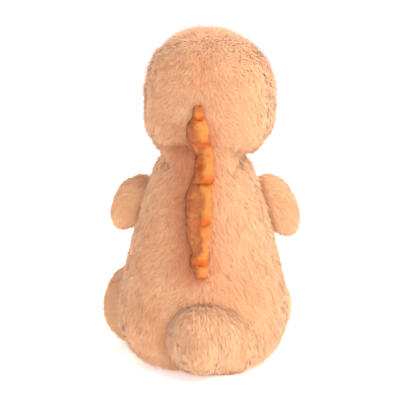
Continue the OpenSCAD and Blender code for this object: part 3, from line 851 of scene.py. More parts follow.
@dataclass
class Torso:
    """The body's skin, with the neck's sleeve, and its pile by panel: angles in degrees from its left side."""

    nodes: tuple[str, ...] = (
        "torso_back_left", "torso_back_right", "torso_side_left", "torso_side_right", "torso_belly",
        "base_band", "seat_patch", "torso_filling", "neck_filling",
    )
    half_width: float = 69.5 * MM
    half_depth: float = 59 * MM
    side_seam: float = 25.2
    front_seam: float = -50.0
    base_seam: float = 26 * MM
    seam_groove: float = 0.8 * MM
    seam_width: float = 2.5 * MM
    sleeve: float = 34 * MM
    sleeve_fullness: float = 7.5 * MM
    tail_fillet: float = 9 * MM
    pile: Pile = Pile()
    skin: Optional[Skin] = None

    def angle(self, p: np.ndarray) -> np.ndarray:
        """The angle round the body of some places, in degrees from its left side towards its back."""
        return np.degrees(np.arctan2(p[:, 1] / self.half_depth, p[:, 0] / self.half_width))

    def seam_distance(self, p: np.ndarray) -> np.ndarray:
        """How far places are from the nearest upright seam of the body.

        Args:
            p: places.

        Returns:
            Distances in metres.
        """
        angle, radius = self.angle(p), np.linalg.norm(p[:, :2], axis=1)
        seams = (90.0, self.side_seam, 180.0 - self.side_seam, self.front_seam, -180.0 - self.front_seam)
        return radius * np.radians(angle_gaps(angle, seams))

    def build(self) -> None:
        """Models the skin and presses its seams in."""
        obj = SkinForm("torso_skin", self.nodes, segments=112, rings=84, room=1.35, easing=5).wrap()
        p, n = vertex_array(obj.data), normal_array(obj.data)
        press = self.seam_groove * bell(self.seam_distance(p), 0.0, self.seam_width)
        press *= smooth_step(p[:, 2], 0.004, 0.012)
        p = p - n * press[:, None]
        radius = np.hypot(p[:, 0], p[:, 1])
        inside = smooth_step(p[:, 2], 0.170, 0.176) * (1.0 - smooth_step(p[:, 2], 0.192, 0.200))
        facing = smooth_step(np.abs(p[:, 1]) / np.maximum(radius, 0.01), 0.45, 0.95)
        target = self.sleeve + self.sleeve_fullness * facing
        wider = 1.0 + inside * np.maximum(target / np.maximum(radius, 0.01) - 1.0, 0.0) * (radius > 0.026)
        p[:, :2] *= wider[:, None]
        fill = bell(p[:, 0], -0.033, 0.020) * bell(p[:, 2], 0.030, 0.026)
        p[:, 1] += self.tail_fillet * fill * smooth_step(p[:, 1], 0.01, 0.03)
        move_vertices(obj.data, p)
        self.skin = Skin(obj, "torso", Reach.TORSO_TO_NECK)

    def nap(self, p: np.ndarray, n: np.ndarray) -> np.ndarray:
        """The way the pile lies: down and away from the back's seam, ruffled on the left.

        Args:
            p: places.
            n: the skin's normals.

        Returns:
            Directions, a row each.
        """
        lie = np.zeros_like(p)
        lie[:, 2] = -1.0
        lie[:, 0] = 0.55 * np.tanh(p[:, 0] / 0.012)
        return lie + ruffles(p, p[:, 0], 71)

    def growth(self, p: np.ndarray, n: np.ndarray) -> np.ndarray:
        """The share of its full length that the pile has: shorter by the seams and at the seat.

        Args:
            p: places.
            n: the skin's normals.

        Returns:
            Shares of the full length.
        """
        seam = 0.82 + 0.18 * smooth_step(self.seam_distance(p), 0.0, 0.004)
        seat = 0.35 + 0.75 * smooth_step(p[:, 2], 0.0, 0.010)
        return seam * seat

    def density(self, p: np.ndarray, n: np.ndarray) -> np.ndarray:
        """The share of its full number that the pile has: little inside the neck and under the seat."""
        return (1.0 - smooth_step(p[:, 2], 0.194, 0.200)) * (0.3 + 0.7 * smooth_step(p[:, 2], 0.001, 0.006))

    def red_tint_and_shade(self, p: np.ndarray, n: np.ndarray) -> np.ndarray:
        """Where the pile is redder: painted shade by the crest's root, more on the shaded left side, and on the rough
        left half; and low on the back.

        Args:
            p: places.
            n: the skin's normals.

        Returns:
            Shares from 0 to 1.
        """
        back = smooth_step(p[:, 1], 0.0, 0.03)
        # painted shade: redder by the crest's root, more on the shaded left side
        left = np.where(p[:, 0] > 0.0, 1.0, 0.45)
        root = bell(p[:, 0], 0.006, 0.018) * smooth_step(p[:, 2], 0.07, 0.095) * left * 0.80
        low = bell(p[:, 0], -0.02, 0.035) * bell(p[:, 2], 0.082, 0.022) * 0.30
        drift = 0.10 * ripple(p, 0.03, 72, 1)[:, 0]
        # painted shade: redder specks on the rough left half, the side away from the light
        rough = smooth_step(p[:, 0], -0.005, 0.02) * (0.10 + 0.26 * ripple(p, 0.0055, 75, 1)[:, 0])
        return back * (root + low + rough) + drift + 0.05

    def pale_tone_and_painted_light(self, p: np.ndarray, n: np.ndarray) -> np.ndarray:
        """Where the pile is paler: along the side seams and here and there."""
        side = bell(self.seam_distance(p), 0.0, 0.0028) * (np.abs(p[:, 0]) > 0.03) * 0.5
        return side + 0.10 + 0.16 * ripple(p, 0.025, 74, 1)[:, 0]

    def shade(self, p: np.ndarray, n: np.ndarray) -> np.ndarray:
        """Where the pile is darker: painted shadow beside the crest, and painted shade in specks on the rough left
        half.

        Args:
            p: places.
            n: the skin's normals.

        Returns:
            Shares from 0 to 1.
        """
        # painted shadow: darker on the left of the crest, where it casts its shadow
        crest_shadow = bell(p[:, 0], 0.014, 0.011) * smooth_step(p[:, 2], 0.080, 0.100) * (p[:, 1] > 0.0)
        # painted shade: darker specks on the rough left half, the side away from the light
        rough = smooth_step(p[:, 0], 0.0, 0.02) * (0.04 + 0.16 * ripple(p, 0.0042, 76, 1)[:, 0])
        return 0.55 * crest_shadow + rough

    def dress(self, finishes: Finishes) -> list[bpy.types.Object]:
        """Gives the body its backing and its pile.

        Args:
            finishes: the toy's finishes.

        Returns:
            The pieces.
        """
        self.skin.obj.data.materials.append(finishes.backing)
        coat = Coat(self.skin, self.pile, self.nap, 11, self.density, self.growth, self.red_tint_and_shade, self.pale_tone_and_painted_light, self.shade)
        fibres = coat.comb()
        turn = self.angle(fibres["roots"]) % 360.0
        low = fibres["roots"][:, 2] < self.base_seam
        side, front = self.side_seam, self.front_seam
        panels = {
            "torso_base_pile": low,
            "torso_back_left_pile": ~low & (turn >= side) & (turn < 90.0),
            "torso_back_right_pile": ~low & (turn >= 90.0) & (turn < 180.0 - side),
            "torso_side_right_pile": ~low & (turn >= 180.0 - side) & (turn < 180.0 - front),
            "torso_belly_pile": ~low & (turn >= 180.0 - front) & (turn < 360.0 + front),
            "torso_side_left_pile": ~low & ((turn >= 360.0 + front) | (turn < side)),
        }
        pieces = [self.skin.obj, *coat.sew_panels(fibres, panels, finishes.peach)]
        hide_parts(*self.nodes)
        return pieces


@dataclass
class Head:
    """The head's skin and its pile by panel: angles in degrees from its left side."""

    nodes: tuple[str, ...] = (
        "head_back_left", "head_back_right", "head_cheek_left", "head_cheek_right", "head_face", "head_filling",
    )
    turn: float = -7.0
    middle: Point = (-5 * MM, -6 * MM, 230 * MM)
    half_width: float = 53 * MM
    half_depth: float = 50 * MM
    side_seam: float = 25.2
    face_seam: float = -58.0
    seam_groove: float = 0.8 * MM
    seam_width: float = 2.4 * MM
    right_fullness: float = 4.5 * MM
    left_tuck: float = 3.5 * MM
    top_drop: float = 3.2 * MM
    top_narrowing: float = 0.07
    pile: Pile = Pile(length=0.0082)
    skin: Optional[Skin] = None

    def own(self, p: np.ndarray) -> np.ndarray:
        """Places turned back to the head's own straight-ahead frame.

        Args:
            p: places.

        Returns:
            Places in the head's frame, from its middle.
        """
        a = math.radians(-self.turn)
        x = p[:, 0] * math.cos(a) - p[:, 1] * math.sin(a)
        y = p[:, 0] * math.sin(a) + p[:, 1] * math.cos(a)
        return np.stack([x - self.middle[0], y - self.middle[1], p[:, 2] - self.middle[2]], 1)

    def angle(self, q: np.ndarray) -> np.ndarray:
        """The angle round the head in degrees, from its left side towards its back."""
        return np.degrees(np.arctan2(q[:, 1] / self.half_depth, q[:, 0] / self.half_width))

    def seam_distance(self, p: np.ndarray) -> np.ndarray:
        """How far places are from the nearest seam of the head.

        Args:
            p: places.

        Returns:
            Distances in metres.
        """
        q = self.own(p)
        angle, radius = self.angle(q), np.linalg.norm(q[:, :2], axis=1)
        seams = (90.0, self.side_seam, 180.0 - self.side_seam, self.face_seam, -180.0 - self.face_seam)
        return radius * np.radians(angle_gaps(angle, seams))

    def build(self) -> None:
        """Models the skin and presses its seams in."""
        obj = SkinForm("head_skin", self.nodes, segments=104, rings=78, room=1.35, easing=5).wrap()
        p, n = vertex_array(obj.data), normal_array(obj.data)
        press = self.seam_groove * bell(self.seam_distance(p), 0.0, self.seam_width)
        p = p - n * press[:, None]
        top = np.clip((p[:, 2] - 0.262) / 0.030, 0.0, 1.2)
        p[:, 2] -= top * self.top_drop
        p[:, 0] = self.middle[0] + (p[:, 0] - self.middle[0]) * (1.0 - self.top_narrowing * top**2)
        low = bell(p[:, 2], 0.206, 0.016) * (np.hypot(p[:, 0], p[:, 1]) > 0.030)
        p[:, 0] -= low * smooth_step(-p[:, 0], 0.0, 0.035) * self.right_fullness
        rim = (1.0 - smooth_step(p[:, 2], 0.190, 0.206)) * smooth_step(p[:, 0], 0.0, 0.035)
        p[:, 0] -= rim * self.left_tuck
        move_vertices(obj.data, p)
        self.skin = Skin(obj, "head", Reach.NECK_TO_HEAD)

    def nap(self, p: np.ndarray, n: np.ndarray) -> np.ndarray:
        """The way the pile lies: from the crown down, and away from the back's seam.

        Args:
            p: places.
            n: the skin's normals.

        Returns:
            Directions, a row each.
        """
        q = self.own(p)
        lie = np.zeros_like(p)
        lie[:, 2] = -0.9
        top = smooth_step(q[:, 2], 0.02, 0.055)
        lie[:, 0] = (0.75 - 0.45 * top) * np.tanh(q[:, 0] / 0.012)
        lie[:, 1] = -0.9 * smooth_step(q[:, 2], 0.040, 0.055)
        return lie + ruffles(p, q[:, 0], 81)

    def growth(self, p: np.ndarray, n: np.ndarray) -> np.ndarray:
        """The share of its full length that the pile has: shorter on the muzzle and by the seams.

        Args:
            p: places.
            n: the skin's normals.

        Returns:
            Shares of the full length.
        """
        q = self.own(p)
        seam = 0.82 + 0.18 * smooth_step(self.seam_distance(p), 0.0, 0.004)
        muzzle = 1.0 - 0.5 * smooth_step(-q[:, 1], 0.045, 0.065)
        return seam * muzzle

    def density(self, p: np.ndarray, n: np.ndarray) -> np.ndarray:
        """The share of its full number that the pile has: none in the cup over the neck."""
        radius = np.hypot(p[:, 0], p[:, 1])
        return np.where((radius < 0.036) & (p[:, 2] < 0.215), 0.02, 1.0)

    def red_tint_and_shade(self, p: np.ndarray, n: np.ndarray) -> np.ndarray:
        """Where the pile is redder: along the back's seam, round the crest's top, and as painted shade along the
        crest's root and on the rough left half.

        Args:
            p: places.
            n: the skin's normals.

        Returns:
            Shares from 0 to 1.
        """
        q = self.own(p)
        back = smooth_step(q[:, 1], 0.0, 0.02)
        seam = bell(q[:, 0], 0.0, 0.006) * 0.35 * smooth_step(q[:, 2], 0.01, 0.02)
        halo = bell(q[:, 0], -0.012, 0.02) * bell(q[:, 2], 0.02, 0.03) * 0.22
        # painted shade: redder along the crest's root
        root = bell(q[:, 0], 0.0, 0.014) * (1.0 - smooth_step(q[:, 2], -0.03, 0.0)) * 0.5
        # painted shade: redder specks on the rough left half, the side away from the light
        rough = smooth_step(q[:, 0], -0.005, 0.02) * (0.08 + 0.24 * ripple(p, 0.0055, 85, 1)[:, 0])
        return back * (seam + halo + root + rough) + 0.05 + 0.10 * ripple(p, 0.03, 82, 1)[:, 0]

    def pale_tone_and_painted_light(self, p: np.ndarray, n: np.ndarray) -> np.ndarray:
        """Where the pile is paler: a painted highlight on the lit crown, along the side seams and here and there.

        Args:
            p: places.
            n: the skin's normals.

        Returns:
            Shares from 0 to 1.
        """
        q = self.own(p)
        side = bell(self.seam_distance(p), 0.0, 0.0026) * (np.abs(q[:, 0]) > 0.02) * 0.5
        # painted highlight: paler on the crown, which the light falls on from above
        return side + 0.12 + 0.20 * smooth_step(q[:, 2], 0.03, 0.06) + 0.16 * ripple(p, 0.025, 84, 1)[:, 0]

    def shade(self, p: np.ndarray, n: np.ndarray) -> np.ndarray:
        """Where the pile is darker: painted shadow beside the crest, and painted shade in specks on the rough left
        half.

        Args:
            p: places.
            n: the skin's normals.

        Returns:
            Shares from 0 to 1.
        """
        low = 1.0 - smooth_step(p[:, 2], 0.200, 0.228)
        # painted shadow: darker on the left of the crest, where it casts its shadow
        crest_shadow = bell(p[:, 0], 0.017, 0.012) * low * (p[:, 1] > 0.0)
        # painted shade: darker specks on the rough left half, the side away from the light
        rough = smooth_step(p[:, 0], 0.0, 0.02) * (0.04 + 0.14 * ripple(p, 0.0042, 86, 1)[:, 0])
        return 0.5 * crest_shadow + rough

    def dress(self, finishes: Finishes) -> list[bpy.types.Object]:
        """Gives the head its backing and its pile.

        Args:
            finishes: the toy's finishes.

        Returns:
            The pieces.
        """
        self.skin.obj.data.materials.append(finishes.backing)
        coat = Coat(self.skin, self.pile, self.nap, 31, self.density, self.growth, self.red_tint_and_shade, self.pale_tone_and_painted_light, self.shade)
        fibres = coat.comb()
        side, face = self.side_seam, self.face_seam
        turn = self.angle(self.own(fibres["roots"])) % 360.0
        panels = {
            "head_back_left_pile": (turn >= side) & (turn < 90.0),
            "head_back_right_pile": (turn >= 90.0) & (turn < 180.0 - side),
            "head_cheek_right_pile": (turn >= 180.0 - side) & (turn < 180.0 - face),
            "head_face_pile": (turn >= 180.0 - face) & (turn < 360.0 + face),
            "head_cheek_left_pile": (turn >= 360.0 + face) | (turn < side),
        }
        pieces = [self.skin.obj, *coat.sew_panels(fibres, panels, finishes.peach)]
        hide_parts(*self.nodes)
        return pieces


@dataclass
class Limb:
    """An arm, a leg or the tail: a stuffed stub with its pile."""

    body: str
    nodes: tuple[str, ...]
    root: Point
    aim: Point
    pile: Pile
    seed: int
    droop: float = 0.3
    sole: bool = False
    sole_depth: float = 10 * MM
    sole_growth: float = 0.45
    flare: float = 0.0
    # painted highlight: how much paler the whole stub's pile is
    flare_reach: float = 22 * MM
    paler: float = 0.0
    squat: float = 1.0
    drop: float = 0.0
    push: float = 0.0
    # painted shade: how much darker the whole stub's pile is
    painted_shade: float = 0.0
    easing: int = 4
    reach: Reach = Reach.RIDES
    skin: Optional[Skin] = None

    def build(self) -> None:
        """Models the stub's skin."""
        obj = SkinForm(self.body + "_skin", self.nodes, segments=56, rings=40, room=1.6, easing=self.easing).wrap()
        p = vertex_array(obj.data)
        middle = (p[:, 2].min() + p[:, 2].max()) / 2.0
        p[:, 2] = middle + (p[:, 2] - middle) * self.squat - self.drop
        p[:, 0] += self.push
        move_vertices(obj.data, p)
        self.skin = Skin(obj, self.body, self.reach)

    def join_smoothly(self, torso: Skin) -> None:
        """Flares the stub's root so that it runs into the body without a step.

        Args:
            torso: the body's skin.
        """
        mesh = torso.obj.data
        tree = BVHTree.FromPolygons([v.co[:] for v in mesh.vertices], [f.vertices[:] for f in mesh.polygons])
        p = vertex_array(self.skin.obj.data)
        axis = unit(np.array(self.aim))
        from_root = p - np.array(self.root)
        outward = unit(from_root - (from_root @ axis)[:, None] * axis)
        reach = self.flare_reach
        for i, place in enumerate(p):
            hit, normal, _, distance = tree.find_nearest(place, reach)
            if hit is None:
                continue
            inside = (Vector(place) - hit).dot(normal) < 0.0
            share = 1.0 if inside else (1.0 - distance / reach) ** 2
            even = (0.75 - 0.60 * outward[i][0]) * (1.0 - 0.75 * max(outward[i][2], 0.0))
            p[i] += outward[i] * self.flare * even * share
        p[:, 2] = np.maximum(p[:, 2], 1.0 * MM)
        move_vertices(self.skin.obj.data, p)
        apply_modifier(self.skin.obj, "SMOOTH", factor=0.5, iterations=6)

    def nap(self, p: np.ndarray, n: np.ndarray) -> np.ndarray:
        """The way the pile lies: out along the stub, fanned from its root, and down.

        Args:
            p: places.
            n: the skin's normals.

        Returns:
            Directions, a row each.
        """
        lie = unit(p - np.array(self.root)) + 0.8 * unit(np.array([self.aim]))
        lie[:, 2] -= self.droop
        return lie

    def red_tint_and_shade(self, p: np.ndarray, n: np.ndarray) -> np.ndarray:
        """Where the pile is redder: in drifts."""
        return 0.06 + 0.12 * ripple(p, 0.02, self.seed + 20, 1)[:, 0]

    def pale_tone_and_painted_light(self, p: np.ndarray, n: np.ndarray) -> np.ndarray:
        """Where the pile is paler: in drifts, and all over a stub given a painted highlight."""
        return self.paler + 0.14 + 0.16 * ripple(p, 0.02, self.seed + 21, 1)[:, 0]

    def shade(self, p: np.ndarray, n: np.ndarray) -> np.ndarray:
        """Where the pile is darker: painted shade all over a stub that stands in shade."""
        return np.full(len(p), self.painted_shade)

    def reach_out(self, p: np.ndarray) -> np.ndarray:
        """How far places are from the root along the stub."""
        return (p - np.array(self.root)) @ unit(np.array(self.aim))

    def dress(self, finishes: Finishes) -> list[bpy.types.Object]:
        """Gives the stub its backing and its pile.

        Args:
            finishes: the toy's finishes.

        Returns:
            The pieces.
        """
        self.skin.obj.data.materials.append(finishes.backing)
        coat = Coat(self.skin, self.pile, self.nap, self.seed, red_tint_and_shade=self.red_tint_and_shade, pale_tone_and_painted_light=self.pale_tone_and_painted_light, shade=self.shade)
        fibres = coat.comb()
        pieces = [self.skin.obj]
        out = self.reach_out(fibres["roots"])
        ends = out > out.max() - self.sole_depth if self.sole else np.zeros(len(out), bool)
        fibres["length"][ends] *= self.sole_growth
        pieces += coat.sew_panels(fibres, {self.body + "_pile": ~ends}, finishes.peach)
        if self.sole:
            pieces += coat.sew_panels(fibres, {self.body + "_sole_pile": ends}, finishes.light)
        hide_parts(*self.nodes)
        return pieces


@dataclass
class CrestStretch:
    """One padded stretch of the scalloped crest, with a short velvet pile."""

    name: str
    body: str
    nodes: tuple[str, ...]
    seed: int
    low: float
    high: float
    marks: tuple[float, ...]
    profile: dict[str, tuple[tuple[float, float], ...]]
    reach: Reach = Reach.RIDES
    closed: tuple[bool, bool] = (False, False)
    pile: Pile = Pile(
        length=0.0017, width=0.00042, per_mm2=15.0, lift_root=48.0, lift_tip=18.0, tuft=0.0018,
        tuft_strength=0.5, swirl=0.006, swirl_strength=0.3, spread=0.5,
    )
    tall: float = 22 * MM
    short: float = 14 * MM
    sunk: float = 3.0 * MM
    root_half: float = 3.5 * MM
    taper: float = 9.0
    cap: float = 0.04
    squareness: float = 0.55
    crinkle: float = 0.5 * MM
    bulge: float = 0.8 * MM
    skin: Optional[Skin] = None

    def along(self, name: str, z: np.ndarray) -> np.ndarray:
        """A measure of the crest at some heights, in metres.

        Args:
            name: which measure: back, root, right, left or swell.
            z: heights in metres.

        Returns:
            The measure at each height.
        """
        stops = self.profile[name]
        return np.interp(z / MM, [stop[0] for stop in stops], [stop[1] for stop in stops]) * MM

    def within(self, z: np.ndarray) -> tuple[np.ndarray, np.ndarray]:
        """Finds the scallop that each height is in.

        Args:
            z: heights in metres.

        Returns:
            How far each is above its scallop's low mark, and how tall that scallop is, in millimetres.
        """
        marks = np.array(self.marks)
        which = np.clip(np.searchsorted(marks, z / MM) - 1, 0, len(marks) - 2)
        return z / MM - marks[which], marks[which + 1] - marks[which]

    def scallop(self, z: np.ndarray) -> np.ndarray:
        """How far up its arc each height is, from 0 between two scallops to 1 at a scallop's peak.

        Args:
            z: heights in metres.

        Returns:
            Shares from 0 to 1.
        """
        up, tall = self.within(z)
        share = np.clip(up / tall, 0.0, 1.0)
        return np.sin(math.pi * share**0.68) ** 0.8

    def underside(self, z: np.ndarray) -> np.ndarray:
        """How much each height is on the lower slope of its scallop, from 0 to 1."""
        up, tall = self.within(z)
        return 1.0 - smooth_step(up, 0.10 * tall, 0.34 * tall) + 0.5 * (1.0 - smooth_step(tall - up, 0.0, 2.5))

    def rise(self, p: np.ndarray) -> np.ndarray:
        """How far places are up the crest, from 0 at its root to 1 at its edge."""
        height = self.short + (self.tall - self.short) * self.scallop(p[:, 2])
        return np.clip((p[:, 1] - self.along("back", p[:, 2])) / height, 0.0, 1.0)

    def shape(self, p: np.ndarray) -> np.ndarray:
        """Turns the points of a ball of radius 1 into the stretch.

        Args:
            p: places on the ball.

        Returns:
            Places on the stretch.
        """
        polar = np.arccos(np.clip(p[:, 2], -1.0, 1.0)) / math.pi
        share = 1.0 - np.clip((polar - self.cap) / (1.0 - 2.0 * self.cap), 0.0, 1.0)
        z = (self.low + (self.high - self.low) * share) * MM
        around = np.arctan2(p[:, 1], p[:, 0])
        side = np.sign(np.cos(around)) * np.abs(np.cos(around)) ** self.squareness
        rise = (np.sign(np.sin(around)) * np.abs(np.sin(around)) ** self.squareness + 1.0) / 2.0
        pinch = np.clip(np.minimum(polar, 1.0 - polar) / self.cap, 0.0, 1.0) ** 0.5
        near = np.where(share > 0.5, (1.0 - share) if self.closed[1] else 1.0, share if self.closed[0] else 1.0)
        taper = np.clip(near * (self.high - self.low) / self.taper, 0.0, 1.0) ** 0.5
        height = (self.short + (self.tall - self.short) * self.scallop(z)) * (0.25 + 0.75 * taper)
        left, right = self.along("left", z), self.along("right", z)
        root_left, root_right = self.along("root", z) + self.root_half, self.along("root", z) - self.root_half
        swell = np.maximum(self.along("swell", z) - (left + root_left) / 2.0, 0.0)
        edge = np.clip(rise, 0.0, 1.0)
        lobe = np.sin(math.pi * np.clip(edge / 0.82, 0.0, 1.0) ** 0.9) ** 0.8
        far_left = root_left + (left - root_left) * edge + swell * lobe * taper
        far_right = root_right + (right - root_right) * edge**0.8
        half, middle = (far_left - far_right) / 2.0, (far_left + far_right) / 2.0
        x = middle + side * half * pinch
        y = self.along("back", z) - self.sunk + (0.5 + (rise - 0.5) * pinch) * (height + self.sunk)
        places = np.stack([x, y, z], 1)
        crinkle = ripple(places * np.array([0.6, 0.6, 1.6]), 2.6 * MM, self.seed, 3)
        broad = ripple(places, 8.0 * MM, self.seed + 1, 3)
        return places + (crinkle * self.crinkle + broad * self.bulge) * pinch[:, None]

    def build(self) -> None:
        """Models the padded stretch."""
        bpy.ops.object.select_all(action="DESELECT")
        rings = int((self.high - self.low) * 1.3 / (1.0 - 2.0 * self.cap)) + 12
        bpy.ops.mesh.primitive_uv_sphere_add(segments=64, ring_count=rings, radius=1.0)
        obj = bpy.context.object
        obj.name = self.name + "_plush"
        obj.data.uv_layers[0].name = "OFBake"
        move_vertices(obj.data, self.shape(vertex_array(obj.data)))
        pick_only(obj)
        bpy.ops.object.mode_set(mode="EDIT")
        bpy.ops.mesh.select_all(action="SELECT")
        bpy.ops.mesh.normals_make_consistent(inside=False)
        bpy.ops.object.mode_set(mode="OBJECT")
        apply_modifier(obj, "SMOOTH", factor=0.4, iterations=2)
        bpy.ops.object.shade_smooth()
        self.skin = Skin(obj, self.body, self.reach)

    def nap(self, p: np.ndarray, n: np.ndarray) -> np.ndarray:
        """The way the pile lies: outward and down.

        Args:
            p: places.
            n: the skin's normals.

        Returns:
            Directions, a row each.
        """
        lie = np.zeros_like(p)
        lie[:, 1] = 0.4
        lie[:, 2] = -0.5
        return lie

    def shade(self, p: np.ndarray, n: np.ndarray) -> np.ndarray:
        """Where the pile is darker: in the hollow of the nape, low on the left face and at its root.

        Args:
            p: places.
            n: the skin's normals.

        Returns:
            Shares from 0 to 1.
        """
        face = smooth_step(p[:, 0] - self.along("left", p[:, 2]), 0.5 * MM, 2.5 * MM)
        nape = bell(p[:, 2], 0.180, 0.008)
        root = 1.0 - smooth_step(self.rise(p), 0.10, 0.40)
        return face * np.maximum(0.85 * nape, 0.6 * root)

    def density(self, p: np.ndarray, n: np.ndarray) -> np.ndarray:
        """The share of its full number that the pile has: none on an end that meets the next stretch.

        Args:
            p: places.
            n: the skin's normals.

        Returns:
            Shares of the full number.
        """
        lower = 1.0 if self.closed[0] else smooth_step(p[:, 2] / MM, self.low + 0.1, self.low + 0.5)
        upper = 1.0 if self.closed[1] else 1.0 - smooth_step(p[:, 2] / MM, self.high - 0.5, self.high - 0.1)
        return np.ones(len(p)) * lower * upper

    def red_tint_and_shade(self, p: np.ndarray, n: np.ndarray) -> np.ndarray:
        """Where the pile is deeper orange: painted shade on the undersides of the scallops, at the root and in a
        crease.

        Args:
            p: places.
            n: the skin's normals.

        Returns:
            Shares from 0 to 1.
        """
        root = 1.0 - smooth_step(self.rise(p), 0.05, 0.45)
        crease = bell(p[:, 0] - self.along("left", p[:, 2]), 1.2 * MM, 1.1 * MM)
        # painted shade: deeper orange on the scallops' undersides, at the root and in the crease where the edge meets
        # the left face
        return 0.85 * self.underside(p[:, 2]) + 0.6 * root + 0.5 * crease + 0.30 * ripple(p, 0.0022, 91, 1)[:, 0]

    def pale_tone_and_painted_light(self, p: np.ndarray, n: np.ndarray) -> np.ndarray:
        """Where the pile turns duller and darker on the left face below the edge: the face's own less saturated tone
        with painted shade.
        """
        # painted shade with the face's own duller tone, on the left face away from the light
        return 0.95 * smooth_step(p[:, 0] - self.along("left", p[:, 2]), 0.3 * MM, 1.6 * MM)

    def dress(self, finishes: Finishes) -> list[bpy.types.Object]:
        """Gives the stretch its backing and its pile.

        Args:
            finishes: the toy's finishes.

        Returns:
            The pieces.
        """
        self.skin.obj.data.materials.clear()
        self.skin.obj.data.materials.append(finishes.crest_backing)
        coat = Coat(
            self.skin, self.pile, self.nap, self.seed, self.density, red_tint_and_shade=self.red_tint_and_shade, pale_tone_and_painted_light=self.pale_tone_and_painted_light,
            shade=self.shade, room=2 * MM,
        )
        pile = coat.sew(self.name + "_pile", coat.comb(), finishes.orange)
        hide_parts(*self.nodes)
        return [self.skin.obj, pile]


# ---------------------------------------------------------------- stage


@dataclass(frozen=True)
class Studio:
    """The pale floor, the soft lamps and the camera behind the toy."""

    azimuth: float = 181.0
    elevation: float = 7.0
    distance: float = 1.4
    aim: Point = (0.003, 0.0, 0.143)
    lens: float = 145.0
    ambient: float = 0.69
    backdrop: float = 1.05
    glow: float = 0.5

    def sun(self, name: str, azimuth: float, elevation: float, power: float, soft: float, tint: Colour) -> None:
        """Adds a broad far light.

        Args:
            name: its name.
            azimuth: where it stands round the toy.
            elevation: how high it stands.
            power: its strength.
            soft: its width in degrees.
            tint: its colour.
        """
        way = self.way(azimuth, elevation)
        bpy.ops.object.select_all(action="DESELECT")
        bpy.ops.object.light_add(type="SUN", location=way * 2.0, rotation=(-way).to_track_quat("-Z", "Y").to_euler())
        light = bpy.context.object
        light.name = name
        light.data.energy = power
        light.data.angle = math.radians(soft)
        light.data.color = tint

    def way(self, azimuth: float, elevation: float) -> Vector:
        """The direction from the toy towards a place seen at an azimuth and an elevation."""
        a, e = math.radians(azimuth), math.radians(elevation)
        return Vector((math.sin(a) * math.cos(e), -math.cos(a) * math.cos(e), math.sin(e)))

    def lamp(self, name: str, azimuth: float, elevation: float, size: float, power: float, tint: Colour) -> None:
        """Adds a soft lamp that faces the toy.

        Args:
            name: its name.
            azimuth: where it stands round the toy.
            elevation: how high it stands.
            size: its width in metres.
            power: its watts.
            tint: its colour.
        """
        aim = Vector((0.0, 0.0, 0.15))
        place = aim + self.way(azimuth, elevation) * 1.6
        bpy.ops.object.select_all(action="DESELECT")
        bpy.ops.object.light_add(type="AREA", radius=size, location=place)
        lamp = bpy.context.object
        lamp.name = name
        lamp.rotation_euler = (aim - place).to_track_quat("-Z", "Y").to_euler()
        lamp.data.shape = "DISK"
        lamp.data.size = size
        lamp.data.energy = power
        lamp.data.color = tint

    def build(self) -> None:
        """Makes the floor, the lamps, the world's light and the camera."""
        bpy.ops.object.select_all(action="DESELECT")
        bpy.ops.mesh.primitive_plane_add(size=8.0, location=(0.0, 0.0, -0.0005))
        floor = bpy.context.object
        floor.name = "floor"
        white = SmoothFinish("floor white", (0.93, 0.93, 0.93), (0.95, 0.95, 0.95), 0.9).material()
        shader = white.node_tree.nodes["Principled BSDF"]
        shader.inputs["Emission Color"].default_value = (1.0, 0.98, 0.96, 1.0)
        shader.inputs["Emission Strength"].default_value = self.glow
        floor.data.materials.append(white)
        world = bpy.data.worlds.new("studio")
        world.use_nodes = True
        tree = world.node_tree
        background = tree.nodes["Background"]
        background.inputs["Color"].default_value = (1.0, 0.965, 0.985, 1.0)
        seen = tree.nodes.new("ShaderNodeLightPath")
        level = tree.nodes.new("ShaderNodeMapRange")
        level.inputs["To Min"].default_value = self.ambient
        level.inputs["To Max"].default_value = self.backdrop
        tree.links.new(seen.outputs["Is Camera Ray"], level.inputs["Value"])
        tree.links.new(level.outputs["Result"], background.inputs["Strength"])
        bpy.context.scene.world = world
        self.sun("key light", 234.0, 46.0, 2.75, 50.0, (1.0, 0.97, 0.93))
        self.lamp("fill lamp", 40.0, 30.0, 1.2, 7.0, (1.0, 0.98, 0.96))
        bpy.context.scene.view_settings.view_transform = "Standard"
        bpy.ops.object.select_all(action="DESELECT")
        aim = Vector(self.aim)
        place = aim + self.way(self.azimuth, self.elevation) * self.distance
        bpy.ops.object.camera_add(location=place, rotation=(aim - place).to_track_quat("-Z", "Y").to_euler())
        camera = bpy.context.object
        camera.data.lens = self.lens
        bpy.context.scene.camera = camera


# ---------------------------------------------------------------- the toy


